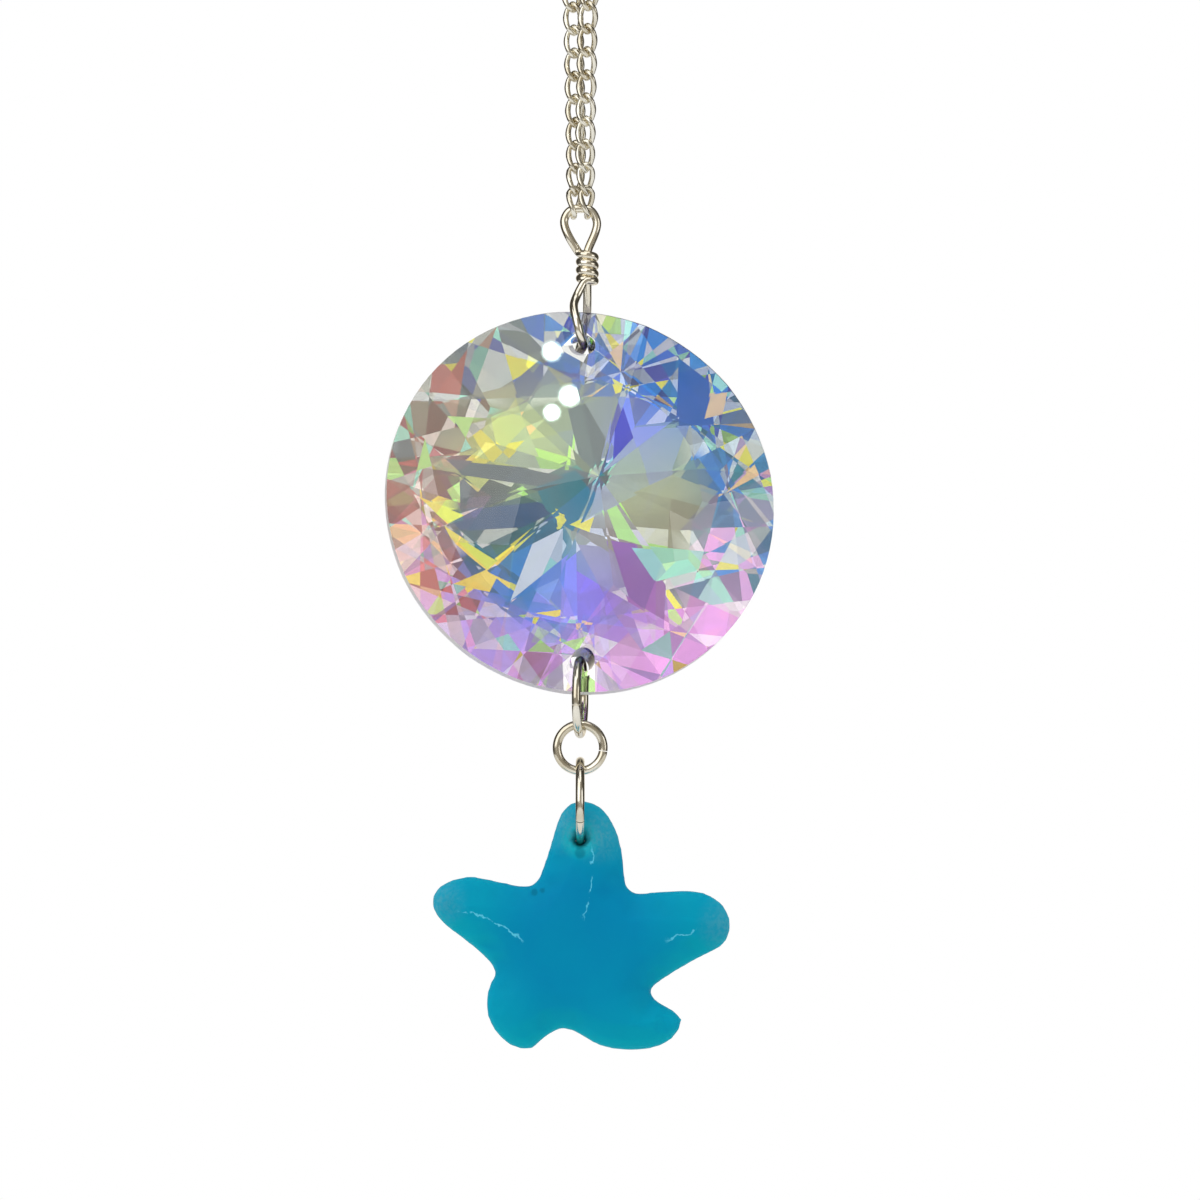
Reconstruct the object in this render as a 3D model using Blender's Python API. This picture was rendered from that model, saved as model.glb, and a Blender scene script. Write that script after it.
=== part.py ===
"""Crystal suncatcher: a doubled curb chain, a wrapped wire eye, a faceted round crystal
with two holes, three jump rings and a frosted glass starfish. Metres, +Z up, the front
faces -Y, and the origin is where the chain's loop hangs on its hook."""

import math

import bmesh
import bpy
from mathutils import Matrix, Vector, geometry

MM = 0.001

# Clearances between pieces that rest on one another
CONTACT_GAP = 0.05 * MM
CUT_GAP = 0.08 * MM

# Wires of the jump rings and of the wrapped eye
RING_WIRE = 0.89 * MM
EYE_WIRE = 0.81 * MM
RING_BEVEL_STEPS = 2
EYE_BEVEL_STEPS = 1

# Crystal
CRYSTAL_RADIUS = 20.0 * MM
RIM_HALF_THICKNESS = 0.7 * MM
PETALS = 12
RIM_STEPS_PER_PETAL = 4
PETAL_TURN = math.radians(4.6)
APEX_HEIGHT = 6.4 * MM
TIP_RADIUS = 0.76 * CRYSTAL_RADIUS
TIP_HEIGHT = 2.6 * MM
SHOULDER_RADIUS = 0.535 * CRYSTAL_RADIUS
CUT_SHIFT = 0.065 * CRYSTAL_RADIUS
CUT_SHIFT_TURN = math.radians(36.9)
TILT = math.radians(17.0)
HOLE_RADIUS = 1.2 * MM
TOP_HOLE_INSET = 3.9 * MM
BOTTOM_HOLE_INSET = 3.1 * MM
HOLE_SIDES = 20

# Jump rings, outer diameters
CRYSTAL_RING_OUTER = 8.35 * MM
CRYSTAL_RING_YAW = math.radians(6.0)
MIDDLE_RING_OUTER = 5.6 * MM
MIDDLE_RING_YAW = math.radians(89.0)
STAR_RING_OUTER = 8.9 * MM
RING_STEPS = 24
HOLE_SEAT = 0.25 * MM

# Wrapped wire eye, heights above the top hole of the crystal
EYE_TOP_ABOVE_HOLE = 14.9 * MM
EYE_HALF_WIDTH = 1.7 * MM
EYE_PLAY = 0.26 * MM
NECK_TOP_ABOVE_HOLE = 9.9 * MM
NECK_BOTTOM_ABOVE_HOLE = 7.1 * MM
NECK_SIDEWAYS = 0.7 * MM
WRAP_GAP = 0.04 * MM
WRAP_TURNS = 3.25
WRAP_STEPS_PER_TURN = 9

# Curb chain
LINK_WIRE = 0.5 * MM
LINK_LENGTH = 3.64 * MM
LINK_WIDTH = 2.14 * MM
LINK_TWIST = math.radians(-47.0)
LINK_PITCH = 2.37 * MM
LINK_BEVEL_STEPS = 1
LINK_END_STEPS = 5
HALF_CHAIN_LINKS = 17
STRAIGHT_LINKS = 10
LOOP_RADIUS = 4.5 * MM
STRAND_DEPTH = 0.66 * MM
STRAND_HALF_GAPS = (0.30, 0.257, 0.224, 0.28, 0.43)
LOOP_SHOULDER_SHARE = 0.49
TURN_PER_LINK = math.radians(15.0)
SETTLING_LINKS = 3
SETTLING_TURN = math.radians(18.0)

# Starfish: its outline about a point just below its hole, in parts of its width
STAR_WIDTH = 30.2 * MM
STAR_WIDTH_PARTS = 30.2
STAR_OUTLINE = (
    (0.1, 4.9), (2.0, 4.3), (3.2, 2.8), (3.9, 1.2), (4.4, -1.2), (4.9, -4.3),
    (8.1, -4.3), (11.3, -4.2), (13.5, -4.9), (14.8, -6.2), (15.2, -7.9), (14.5, -9.7),
    (12.1, -11.0), (9.3, -12.6), (6.9, -14.5), (8.7, -15.9), (10.0, -16.7), (10.3, -17.7),
    (9.4, -19.1), (7.9, -20.0), (5.2, -20.4), (2.2, -20.0), (0.5, -19.1), (-1.6, -18.1),
    (-3.6, -19.1), (-4.6, -20.1), (-5.6, -20.3), (-7.0, -19.9), (-8.4, -18.7), (-9.3, -17.1),
    (-9.5, -15.4), (-9.2, -13.8), (-8.5, -12.4), (-9.8, -10.8), (-11.7, -9.2), (-13.7, -7.7),
    (-14.8, -6.3), (-15.0, -5.0), (-14.1, -3.7), (-12.5, -3.0), (-10.7, -2.8), (-8.2, -3.3),
    (-4.9, -3.8), (-3.8, -2.0), (-3.0, 0.4), (-2.3, 2.8), (-1.4, 4.3),
)
STAR_HALF_THICKNESS = 2.5 * MM
STAR_ROUNDING = 4.6 * MM
STAR_EDGE_STEPS = 84
STAR_GRID = 1.7 * MM
STAR_EDGE_ROWS = (0.3 * MM, 0.95 * MM)
STAR_HOLE_RADIUS = 0.98 * MM
STAR_HOLE_HEIGHT = 1.05 * MM

# Colours, linear
SILVER = (0.80, 0.78, 0.72)
CLEAR_CRYSTAL = (0.95, 0.96, 0.98)
SEA_GLASS_TEAL = (0.004, 0.262, 0.430)


def clear_scene():
    """Remove every object of the open scene."""
    for item in list(bpy.data.objects):
        bpy.data.objects.remove(item, do_unlink=True)


def make_collection(name):
    """Return a new collection linked to the scene."""
    group = bpy.data.collections.new(name)
    bpy.context.scene.collection.children.link(group)
    return group


def make_material(name, colour, roughness, metallic=0.0, transmission=0.0, ior=1.5):
    """Return a Principled material with plain values."""
    material = bpy.data.materials.new(name)
    material.use_nodes = True
    shader = material.node_tree.nodes["Principled BSDF"]
    shader.inputs["Base Color"].default_value = (*colour, 1.0)
    shader.inputs["Roughness"].default_value = roughness
    shader.inputs["Metallic"].default_value = metallic
    shader.inputs["Transmission Weight"].default_value = transmission
    shader.inputs["IOR"].default_value = ior
    return material


def add_object(name, data, group, material):
    """Link a new object of the given data, dressed in its own material."""
    item = bpy.data.objects.new(name, data)
    if not data.materials:
        data.materials.append(material)
    group.objects.link(item)
    return item


def wire_curve(name, points, thickness, closed, bevel_steps):
    """Return a round wire as curve data along the points."""
    curve = bpy.data.curves.new(name, "CURVE")
    curve.dimensions = "3D"
    curve.bevel_depth = thickness / 2
    curve.bevel_resolution = bevel_steps
    curve.use_fill_caps = True
    spline = curve.splines.new("POLY")
    spline.points.add(len(points) - 1)
    for slot, point in zip(spline.points, points):
        slot.co = (*point, 1.0)
    spline.use_cyclic_u = closed
    spline.use_smooth = True
    return curve


def smooth_path(points, steps, closed=False):
    """Return points on a Catmull-Rom curve through the given ones."""
    count = len(points)
    path = []
    for index in range(count if closed else count - 1):
        if closed:
            before, start, end, after = (points[(index + k) % count] for k in (-1, 0, 1, 2))
        else:
            start, end = points[index], points[index + 1]
            before = points[index - 1] if index else start + (start - end)
            after = points[index + 2] if index + 2 < count else end + (end - start)
        for step in range(steps):
            t = step / steps
            path.append(0.5 * (2 * start + (end - before) * t
                               + (2 * before - 5 * start + 4 * end - after) * t * t
                               + (3 * start - before - 3 * end + after) * t ** 3))
    if not closed:
        path.append(points[-1].copy())
    return path


def resample(path, count):
    """Return count points at equal distances along a closed path."""
    ends = path[1:] + path[:1]
    lengths = [(b - a).length for a, b in zip(path, ends)]
    spacing = sum(lengths) / count
    result, travelled, target = [], 0.0, 0.0
    for start, end, length in zip(path, ends, lengths):
        while target < travelled + length and len(result) < count:
            result.append(start.lerp(end, (target - travelled) / length))
            target += spacing
        travelled += length
    return result


# Layout, in the crystal's own frame first: everything hangs from the top hole

def crystal_axes():
    """Return the crystal's right, up and front directions as it hangs, tipped and turned."""
    front = Vector((math.sin(TILT) * math.sin(CUT_SHIFT_TURN), -math.cos(TILT),
                    math.sin(TILT) * math.cos(CUT_SHIFT_TURN)))
    up = Vector((0.0, front.z, -front.y)).normalized()
    return up.cross(front), up, front


RIGHT, UP, FRONT = crystal_axes()
EYE_WIRE_RADIUS = EYE_WIRE / 2


def ring_radius(outer):
    """Return the radius of a ring's centre line from its outer diameter."""
    return outer / 2 - RING_WIRE / 2


def link_end_drop():
    """Return how far the lowest links' centre lines pass below the eye's top wire."""
    return EYE_WIRE_RADIUS + LINK_WIRE / 2 + EYE_PLAY


def strand_stations(loop_base):
    """Return the right strand's stations (half spacing, depth, height above the lowest
    link's centre), from the eye up to where the round of the loop starts."""
    links_up = (0, 1, 2, 0.5 * STRAIGHT_LINKS, STRAIGHT_LINKS - 1)
    depths = (0.3, 0.7, 1.0, 1.0, 1.0)
    stations = [Vector((gap * LINK_WIDTH, -depth * STRAND_DEPTH, links * LINK_PITCH))
                for gap, depth, links in zip(STRAND_HALF_GAPS, depths, links_up)]
    stations.append(Vector((LOOP_SHOULDER_SHARE * LOOP_RADIUS, -0.6 * STRAND_DEPTH,
                            (STRAIGHT_LINKS + 0.8) * LINK_PITCH)))
    stations.append(Vector((LOOP_RADIUS, 0.0, loop_base)))
    return stations


def half_chain_path(loop_base):
    """Return the right strand's path from the lowest link's centre to the loop's top."""
    path = smooth_path(strand_stations(loop_base), 24)
    steps = 48
    for step in range(1, steps + 1):
        angle = 0.5 * math.pi * step / steps
        path.append(Vector((LOOP_RADIUS * math.cos(angle), 0.0,
                            loop_base + LOOP_RADIUS * math.sin(angle))))
    return path


def path_length(path):
    """Return the length of an open path."""
    return sum((b - a).length for a, b in zip(path, path[1:]))


def solve_loop_base():
    """Return the height of the loop's round, so that whole links fill the half chain."""
    wanted = HALF_CHAIN_LINKS * LINK_PITCH
    low, high = STRAIGHT_LINKS * LINK_PITCH, HALF_CHAIN_LINKS * LINK_PITCH
    for _ in range(40):
        middle = 0.5 * (low + high)
        if path_length(half_chain_path(middle)) < wanted:
            low = middle
        else:
            high = middle
    return low


LOOP_BASE = solve_loop_base()
LINK_FLAT_HALF = 0.5 * (LINK_WIDTH - LINK_WIRE) * math.sin(abs(LINK_TWIST)) + LINK_WIRE / 2
LOWEST_LINK_ABOVE_HOLE = (EYE_TOP_ABOVE_HOLE - EYE_WIRE_RADIUS - link_end_drop()
                          + LINK_LENGTH / 2 - LINK_WIRE / 2)
HOOK_SEAT_ABOVE_HOLE = (LOWEST_LINK_ABOVE_HOLE + LOOP_BASE + LOOP_RADIUS - LINK_FLAT_HALF)
TOP_HOLE = Vector((0.0, 0.0, -HOOK_SEAT_ABOVE_HOLE))
CRYSTAL_CENTRE = TOP_HOLE - UP * (CRYSTAL_RADIUS - TOP_HOLE_INSET)
BOTTOM_HOLE = CRYSTAL_CENTRE - UP * (CRYSTAL_RADIUS - BOTTOM_HOLE_INSET)
LOWEST_LINK = TOP_HOLE + Vector((0.0, 0.0, LOWEST_LINK_ABOVE_HOLE))

CRYSTAL_RING = (BOTTOM_HOLE - UP * (ring_radius(CRYSTAL_RING_OUTER) - HOLE_SEAT))
RING_STEP_DOWN = RING_WIRE + 2 * CONTACT_GAP
MIDDLE_RING = CRYSTAL_RING - Vector((0.0, 0.0, ring_radius(CRYSTAL_RING_OUTER)
                                     + ring_radius(MIDDLE_RING_OUTER) - RING_STEP_DOWN))
STAR_RING = MIDDLE_RING - Vector((0.0, 0.0, ring_radius(MIDDLE_RING_OUTER)
                                  + ring_radius(STAR_RING_OUTER) - RING_STEP_DOWN))
STAR_HOLE = STAR_RING - Vector((0.0, 0.0, ring_radius(STAR_RING_OUTER) - HOLE_SEAT))


# Curb chain

def link_points():
    """Return one curb link's centre line: a long round-ended loop twisted along its length."""
    end_radius = (LINK_WIDTH - LINK_WIRE) / 2
    half_length = (LINK_LENGTH - LINK_WIRE) / 2
    flat = []
    for side in (1, -1):
        for step in range(LINK_END_STEPS + 1):
            angle = math.pi * step / LINK_END_STEPS
            flat.append((side * end_radius * math.cos(angle),
                         side * (half_length - end_radius + end_radius * math.sin(angle))))
        flat.append((-side * end_radius, 0.0))
    points = []
    for across, along in flat:
        turn = LINK_TWIST * along / half_length
        points.append(Vector((across * math.cos(turn), across * math.sin(turn), along)))
    return points


def point_on_path(path, distance):
    """Return the point and direction at a distance along an open path."""
    travelled = 0.0
    for start, end in zip(path, path[1:]):
        length = (end - start).length
        if travelled + length >= distance:
            return start.lerp(end, (distance - travelled) / length), (end - start).normalized()
        travelled += length
    return path[-1].copy(), (path[-1] - path[-2]).normalized()


def link_turn(index):
    """Return a link's turn about its own length: edge-on in the eye, flat over the hook."""
    if index < SETTLING_LINKS:
        return SETTLING_TURN * (SETTLING_LINKS - index)
    climbing = index - (HALF_CHAIN_LINKS - round(0.5 * math.pi / TURN_PER_LINK))
    return TURN_PER_LINK * max(0, climbing)


def link_matrix(path, index):
    """Return the placement of the right strand's link of that number, counted from below."""
    place, along = point_on_path(path, index * LINK_PITCH)
    if index == HALF_CHAIN_LINKS:
        along = Vector((-1.0, 0.0, 0.0))
    face = (Vector((0.0, 1.0, 0.0)) - along * along.y).normalized()
    across = face.cross(along)
    frame = Matrix((across, face, along)).transposed().to_4x4()
    spin = Matrix.Rotation(link_turn(index), 4, "Z")
    return Matrix.Translation(LOWEST_LINK + place) @ frame @ spin


def build_chain(group):
    """Make the doubled chain: a right strand in front, a left strand behind, one loop."""
    material = make_material("chain silver", SILVER, 0.22, metallic=1.0)
    curve = wire_curve("curb link", link_points(), LINK_WIRE, True, LINK_BEVEL_STEPS)
    path = half_chain_path(LOOP_BASE)
    half_turn = Matrix.Rotation(math.pi, 4, "Z")
    for index in range(HALF_CHAIN_LINKS):
        placement = link_matrix(path, index)
        right = add_object(f"link_right_{index + 1:02d}", curve, group, material)
        right.matrix_world = placement
        left = add_object(f"link_left_{index + 1:02d}", curve, group, material)
        left.matrix_world = half_turn @ placement
    top = add_object("link_top", curve, group, material)
    top.matrix_world = link_matrix(path, HALF_CHAIN_LINKS)


# Wire eye

def neck_point(height):
    """Return the stem's centre at a height above the top hole."""
    return Vector((NECK_SIDEWAYS, 0.0, height))


def wrap_point(angle, height):
    """Return a point of the wrapped wire; the angle runs from the front to the right."""
    radius = EYE_WIRE + WRAP_GAP
    around = Vector((radius * math.sin(angle), -radius * math.cos(angle), 0.0))
    return neck_point(height) + around


def eye_points():
    """Return the eye wire's centre line: from its end on the wraps, up round the eye,
    down the stem, behind the crystal, through its hole and up in front to its last wrap."""
    pitch = EYE_WIRE + WRAP_GAP
    first_angle = -0.45 * math.pi
    wraps = []
    steps = round(WRAP_TURNS * WRAP_STEPS_PER_TURN)
    for step in range(steps + 1):
        turns = step / WRAP_STEPS_PER_TURN
        wraps.append(wrap_point(first_angle + turns * math.tau,
                                NECK_TOP_ABOVE_HOLE - pitch * turns))
    top = EYE_TOP_ABOVE_HOLE - EYE_WIRE_RADIUS
    widest = top - 0.85 * EYE_HALF_WIDTH
    eye = [wraps[0],
           Vector((-0.75 * EYE_HALF_WIDTH, -0.35 * EYE_WIRE, widest - 0.75 * EYE_HALF_WIDTH)),
           Vector((-EYE_HALF_WIDTH, 0.0, widest + 0.1 * EYE_HALF_WIDTH)),
           Vector((-0.64 * EYE_HALF_WIDTH, 0.0, top - 0.1 * EYE_HALF_WIDTH)),
           Vector((0.0, 0.0, top)),
           Vector((0.64 * EYE_HALF_WIDTH, 0.0, top - 0.1 * EYE_HALF_WIDTH)),
           Vector((EYE_HALF_WIDTH, 0.0, widest + 0.05 * EYE_HALF_WIDTH)),
           Vector((0.85 * EYE_HALF_WIDTH, 0.0, widest - 0.7 * EYE_HALF_WIDTH)),
           neck_point(NECK_TOP_ABOVE_HOLE + 0.2 * EYE_WIRE),
           neck_point(0.5 * (NECK_TOP_ABOVE_HOLE + NECK_BOTTOM_ABOVE_HOLE))]
    loop = [neck_point(NECK_BOTTOM_ABOVE_HOLE)] + leg_points()
    tail = []
    for step in range(WRAP_STEPS_PER_TURN * 3 // 4 + 1):
        angle = -0.1 * math.pi + math.tau * step / WRAP_STEPS_PER_TURN
        tail.append(wrap_point(angle, NECK_BOTTOM_ABOVE_HOLE))
    shape = list(reversed(wraps))[:-1]
    curved = smooth_path(eye + loop + tail[:1], 3)
    return shape + curved + tail[1:]


def leg_points():
    """Return the two legs: down behind the crystal, through its hole and up in front."""
    through = 2.4 * EYE_WIRE
    return [
        Vector((0.85 * EYE_WIRE, 1.4 * EYE_WIRE, 5.65 * EYE_WIRE)),
        Vector((0.75 * EYE_WIRE, 3.0 * EYE_WIRE, 4.0 * EYE_WIRE)),
        Vector((0.25 * EYE_WIRE, 3.9 * EYE_WIRE, 1.9 * EYE_WIRE)),
        Vector((-0.2 * EYE_WIRE, 3.3 * EYE_WIRE, 0.0)),
        -FRONT * through * 0.9,
        Vector((0.0, 0.0, -0.1 * EYE_WIRE)),
        FRONT * through * 0.9,
        Vector((0.05 * EYE_WIRE, -3.4 * EYE_WIRE, 1.4 * EYE_WIRE)),
        Vector((-0.4 * EYE_WIRE, -3.8 * EYE_WIRE, 3.2 * EYE_WIRE)),
        Vector((-0.85 * EYE_WIRE, -2.7 * EYE_WIRE, 5.2 * EYE_WIRE)),
        Vector((-0.55 * EYE_WIRE, -1.6 * EYE_WIRE, 6.6 * EYE_WIRE)),
    ]


def build_eye(group):
    """Make the wrapped wire eye as one wire."""
    material = make_material("eye silver", SILVER, 0.2, metallic=1.0)
    curve = wire_curve("wire eye", eye_points(), EYE_WIRE, False, EYE_BEVEL_STEPS)
    item = add_object("wire_eye", curve, group, material)
    item.location = TOP_HOLE


# Jump rings

def build_ring(name, centre, outer, yaw, cut_turn, group):
    """Make a jump ring whose plane is upright; the yaw turns it from edge-on to face-on
    and the cut lies at a turn from its top, towards its front or right side."""
    material = make_material(name.replace("_", " ") + " silver", SILVER, 0.2, metallic=1.0)
    radius = ring_radius(outer)
    half_cut = 0.5 * CUT_GAP / radius
    points = []
    for step in range(RING_STEPS + 1):
        angle = cut_turn + half_cut + (math.tau - 2 * half_cut) * step / RING_STEPS
        points.append(Vector((0.0, -radius * math.sin(angle), radius * math.cos(angle))))
    curve = wire_curve(name, points, RING_WIRE, False, RING_BEVEL_STEPS)
    item = add_object(name, curve, group, material)
    item.location = centre
    item.rotation_euler.z = yaw


def build_rings(group):
    """Make the three jump rings between the crystal and the starfish."""
    build_ring("crystal_ring", CRYSTAL_RING, CRYSTAL_RING_OUTER, -CRYSTAL_RING_YAW,
               math.radians(100.0), group)
    build_ring("middle_ring", MIDDLE_RING, MIDDLE_RING_OUTER, MIDDLE_RING_YAW,
               math.radians(98.0), group)
    build_ring("starfish_ring", STAR_RING, STAR_RING_OUTER, 0.0, math.radians(117.0), group)


# Crystal

def shoulder_height():
    """Return the height of the petals' side corners, so that each petal is one flat kite."""
    reach = SHOULDER_RADIUS * math.cos(math.pi / PETALS)
    return APEX_HEIGHT - (APEX_HEIGHT - TIP_HEIGHT) * reach / TIP_RADIUS


def add_cut_face(mesh, rim, side, turn):
    """Add one side's facets: a flower of kites, and triangles and fans out to the rim."""
    shift = side * CUT_SHIFT
    middle = Vector((shift * math.sin(CUT_SHIFT_TURN), shift * math.cos(CUT_SHIFT_TURN), 0.0))

    def corner(radius, angle, height):
        flat = Vector((math.sin(angle), math.cos(angle), 0.0)) * radius
        return mesh.verts.new(middle + flat + Vector((0.0, 0.0, side * height)))

    step = math.tau / PETALS
    apex = corner(0.0, 0.0, APEX_HEIGHT)
    tips = [corner(TIP_RADIUS, turn + k * step, TIP_HEIGHT) for k in range(PETALS)]
    shoulders = [corner(SHOULDER_RADIUS, turn + (k + 0.5) * step, shoulder_height())
                 for k in range(PETALS)]
    first_rim = round((turn - PETAL_TURN) / step * RIM_STEPS_PER_PETAL)
    half = RIM_STEPS_PER_PETAL // 2
    for k, tip in enumerate(tips):
        before, after = shoulders[k - 1], shoulders[k]
        centre_rim = first_rim + k * RIM_STEPS_PER_PETAL
        arc = [rim[(centre_rim + offset) % len(rim)] for offset in range(-half, half + 1)]
        faces = [(apex, before, tip, after), (before, arc[0], tip), (tip, arc[-1], after)]
        faces += [(tip, start, end) for start, end in zip(arc, arc[1:])]
        for face in faces:
            mesh.faces.new(face)


def crystal_mesh():
    """Return the double-sided cut crystal, lying on its back, without its holes."""
    mesh = bmesh.new()
    steps = PETALS * RIM_STEPS_PER_PETAL
    rims = []
    for side in (1, -1):
        ring = []
        for index in range(steps):
            angle = PETAL_TURN + math.tau * index / steps
            ring.append(mesh.verts.new((CRYSTAL_RADIUS * math.sin(angle),
                                        CRYSTAL_RADIUS * math.cos(angle),
                                        side * RIM_HALF_THICKNESS)))
        rims.append(ring)
    front, back = rims
    for index in range(steps):
        after = (index + 1) % steps
        mesh.faces.new((front[index], front[after], back[after], back[index]))
    add_cut_face(mesh, front, 1, PETAL_TURN)
    add_cut_face(mesh, back, -1, PETAL_TURN + math.pi / PETALS)
    bmesh.ops.recalc_face_normals(mesh, faces=mesh.faces[:])
    data = bpy.data.meshes.new("crystal")
    mesh.to_mesh(data)
    mesh.free()
    return data


def hanging_frame(place):
    """Return the placement whose axes are the crystal's right, up and front directions."""
    return Matrix.Translation(place) @ Matrix((RIGHT, UP, FRONT)).transposed().to_4x4()


def add_cutter(name, placement, radius, length, group):
    """Make a hidden round cutter along the placement's third axis."""
    mesh = bmesh.new()
    bmesh.ops.create_cone(mesh, cap_ends=True, segments=HOLE_SIDES, radius1=radius,
                          radius2=radius, depth=length)
    data = bpy.data.meshes.new(name)
    mesh.to_mesh(data)
    mesh.free()
    cutter = bpy.data.objects.new(name, data)
    cutter.matrix_world = placement
    cutter.hide_render = True
    cutter.display_type = "WIRE"
    group.objects.link(cutter)
    return cutter


def cut_with(item, cutter):
    """Cut the cutter's shape out of the object."""
    modifier = item.modifiers.new(cutter.name, "BOOLEAN")
    modifier.operation = "DIFFERENCE"
    modifier.solver = "EXACT"
    modifier.object = cutter


def build_crystal(group, cutters):
    """Make the crystal as it hangs, with its two holes."""
    material = make_material("clear crystal", CLEAR_CRYSTAL, 0.0, transmission=1.0, ior=1.54)
    item = add_object("crystal", crystal_mesh(), group, material)
    item.matrix_world = hanging_frame(CRYSTAL_CENTRE)
    for name, place in (("top hole", TOP_HOLE), ("bottom hole", BOTTOM_HOLE)):
        cut_with(item, add_cutter(name, hanging_frame(place), HOLE_RADIUS,
                                  3 * APEX_HEIGHT, cutters))


# Starfish

def star_edge():
    """Return the starfish outline as evenly spaced points."""
    corners = [Vector((x, z)) * (STAR_WIDTH / STAR_WIDTH_PARTS) for x, z in STAR_OUTLINE]
    return resample(smooth_path(corners, 6, closed=True), STAR_EDGE_STEPS)


def inside(point, edge):
    """Tell whether a flat point lies inside the closed edge."""
    crossed = False
    for a, b in zip(edge, edge[1:] + edge[:1]):
        if (a.y > point.y) != (b.y > point.y):
            if point.x < a.x + (point.y - a.y) * (b.x - a.x) / (b.y - a.y):
                crossed = not crossed
    return crossed


def edge_distance(point, edge):
    """Return the distance from a flat point to the closed edge."""
    best = STAR_ROUNDING
    for a, b in zip(edge, edge[1:] + edge[:1]):
        near, part = geometry.intersect_point_line(point, a, b)
        near = a if part < 0 else b if part > 1 else near
        best = min(best, (Vector((near[0], near[1])) - point).length)
    return best


def star_flat_points(edge):
    """Return the edge, rows just inside it and a grid over the middle."""
    points = list(edge)
    count = len(edge)
    for row, inset in enumerate(STAR_EDGE_ROWS):
        for index in range(row, count, row + 1):
            along = (edge[(index + 1) % count] - edge[index - 1]).normalized()
            points.append(edge[index] + Vector((along.y, -along.x)) * inset)
    low = Vector((min(p.x for p in edge), min(p.y for p in edge)))
    high = Vector((max(p.x for p in edge), max(p.y for p in edge)))
    row_height = STAR_GRID * math.sqrt(0.75)
    margin = STAR_EDGE_ROWS[-1] + 0.5 * STAR_GRID
    for row in range(int((high.y - low.y) / row_height) + 1):
        for column in range(int((high.x - low.x) / STAR_GRID) + 1):
            point = low + Vector(((column + 0.5 * (row % 2)) * STAR_GRID, row * row_height))
            if inside(point, edge) and edge_distance(point, edge) > margin:
                points.append(point)
    return points


def star_mesh():
    """Return the pillowed starfish, full in the middle and round to its edge."""
    edge = star_edge()
    points = star_flat_points(edge)
    count = len(edge)
    border = [(index, (index + 1) % count) for index in range(count)]
    flat, _, faces, *_ = geometry.delaunay_2d_cdt(points, border, [], 1, 1e-7)
    mesh = bmesh.new()
    fronts, backs = [], []
    for point in flat:
        depth = 1.0 - min(edge_distance(point, edge) / STAR_ROUNDING, 1.0)
        height = STAR_HALF_THICKNESS * math.sqrt(max(0.0, 1.0 - depth * depth))
        on_edge = height < 0.05 * STAR_HALF_THICKNESS
        height = 0.0 if on_edge else height
        fronts.append(mesh.verts.new((point.x, -height, point.y)))
        backs.append(fronts[-1] if on_edge else mesh.verts.new((point.x, height, point.y)))
    for face in faces:
        mesh.faces.new([fronts[index] for index in face])
        mesh.faces.new([backs[index] for index in reversed(face)])
    bmesh.ops.recalc_face_normals(mesh, faces=mesh.faces[:])
    for face in mesh.faces:
        face.smooth = True
    data = bpy.data.meshes.new("starfish")
    mesh.to_mesh(data)
    mesh.free()
    return data


def build_starfish(group, cutters):
    """Make the frosted glass starfish, hung on its ring by its hole."""
    material = make_material("frosted sea glass", SEA_GLASS_TEAL, 0.45, transmission=0.25)
    item = add_object("starfish", star_mesh(), group, material)
    item.location = STAR_HOLE - Vector((0.0, 0.0, STAR_HOLE_HEIGHT))
    bore = Matrix.Translation(STAR_HOLE) @ Matrix.Rotation(math.pi / 2, 4, "X")
    cut_with(item, add_cutter("starfish hole", bore, STAR_HOLE_RADIUS,
                              4 * STAR_HALF_THICKNESS, cutters))


def main():
    """Build the whole suncatcher."""
    clear_scene()
    group = make_collection("crystal suncatcher")
    cutters = make_collection("cutters")
    build_chain(group)
    build_eye(group)
    build_crystal(group, cutters)
    build_rings(group)
    build_starfish(group, cutters)


main()
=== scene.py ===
"""Looks of the crystal suncatcher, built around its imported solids.

A doubled curb chain and a wrapped wire eye carry a faceted round crystal with an
iridescent coating. Three jump rings hang a frosted sea-glass starfish below it.
"""

import logging
import math
from collections.abc import Callable
from dataclasses import dataclass, field
from enum import Enum

import bmesh
import bpy
import numpy as np
from mathutils import Matrix, Vector, noise


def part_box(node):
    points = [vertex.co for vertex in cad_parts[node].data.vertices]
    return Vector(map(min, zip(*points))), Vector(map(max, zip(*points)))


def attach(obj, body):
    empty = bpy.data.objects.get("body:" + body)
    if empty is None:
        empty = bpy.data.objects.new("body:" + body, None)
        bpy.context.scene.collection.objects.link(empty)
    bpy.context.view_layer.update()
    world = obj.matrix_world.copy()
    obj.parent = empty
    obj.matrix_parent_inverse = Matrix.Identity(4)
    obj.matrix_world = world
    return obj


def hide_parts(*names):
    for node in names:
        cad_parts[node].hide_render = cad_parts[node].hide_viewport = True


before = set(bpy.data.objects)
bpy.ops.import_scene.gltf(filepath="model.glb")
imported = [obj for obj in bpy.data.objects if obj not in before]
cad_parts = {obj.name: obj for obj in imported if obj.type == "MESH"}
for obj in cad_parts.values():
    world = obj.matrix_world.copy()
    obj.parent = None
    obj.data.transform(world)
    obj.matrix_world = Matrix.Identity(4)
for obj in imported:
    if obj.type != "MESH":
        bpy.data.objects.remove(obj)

MM = 0.001
BODY = "root"
SLACK = 1e-7
WHITE = (1.0, 1.0, 1.0)

Pair = tuple[float, float]
Triple = tuple[float, float, float]

log = logging.getLogger("suncatcher")


def ramp(value: float, start: float, span: float) -> float:
    """Return how far a value has gone over a span from its start, kept from 0 to 1."""
    return min(max((value - start) / span, 0.0), 1.0)


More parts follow.
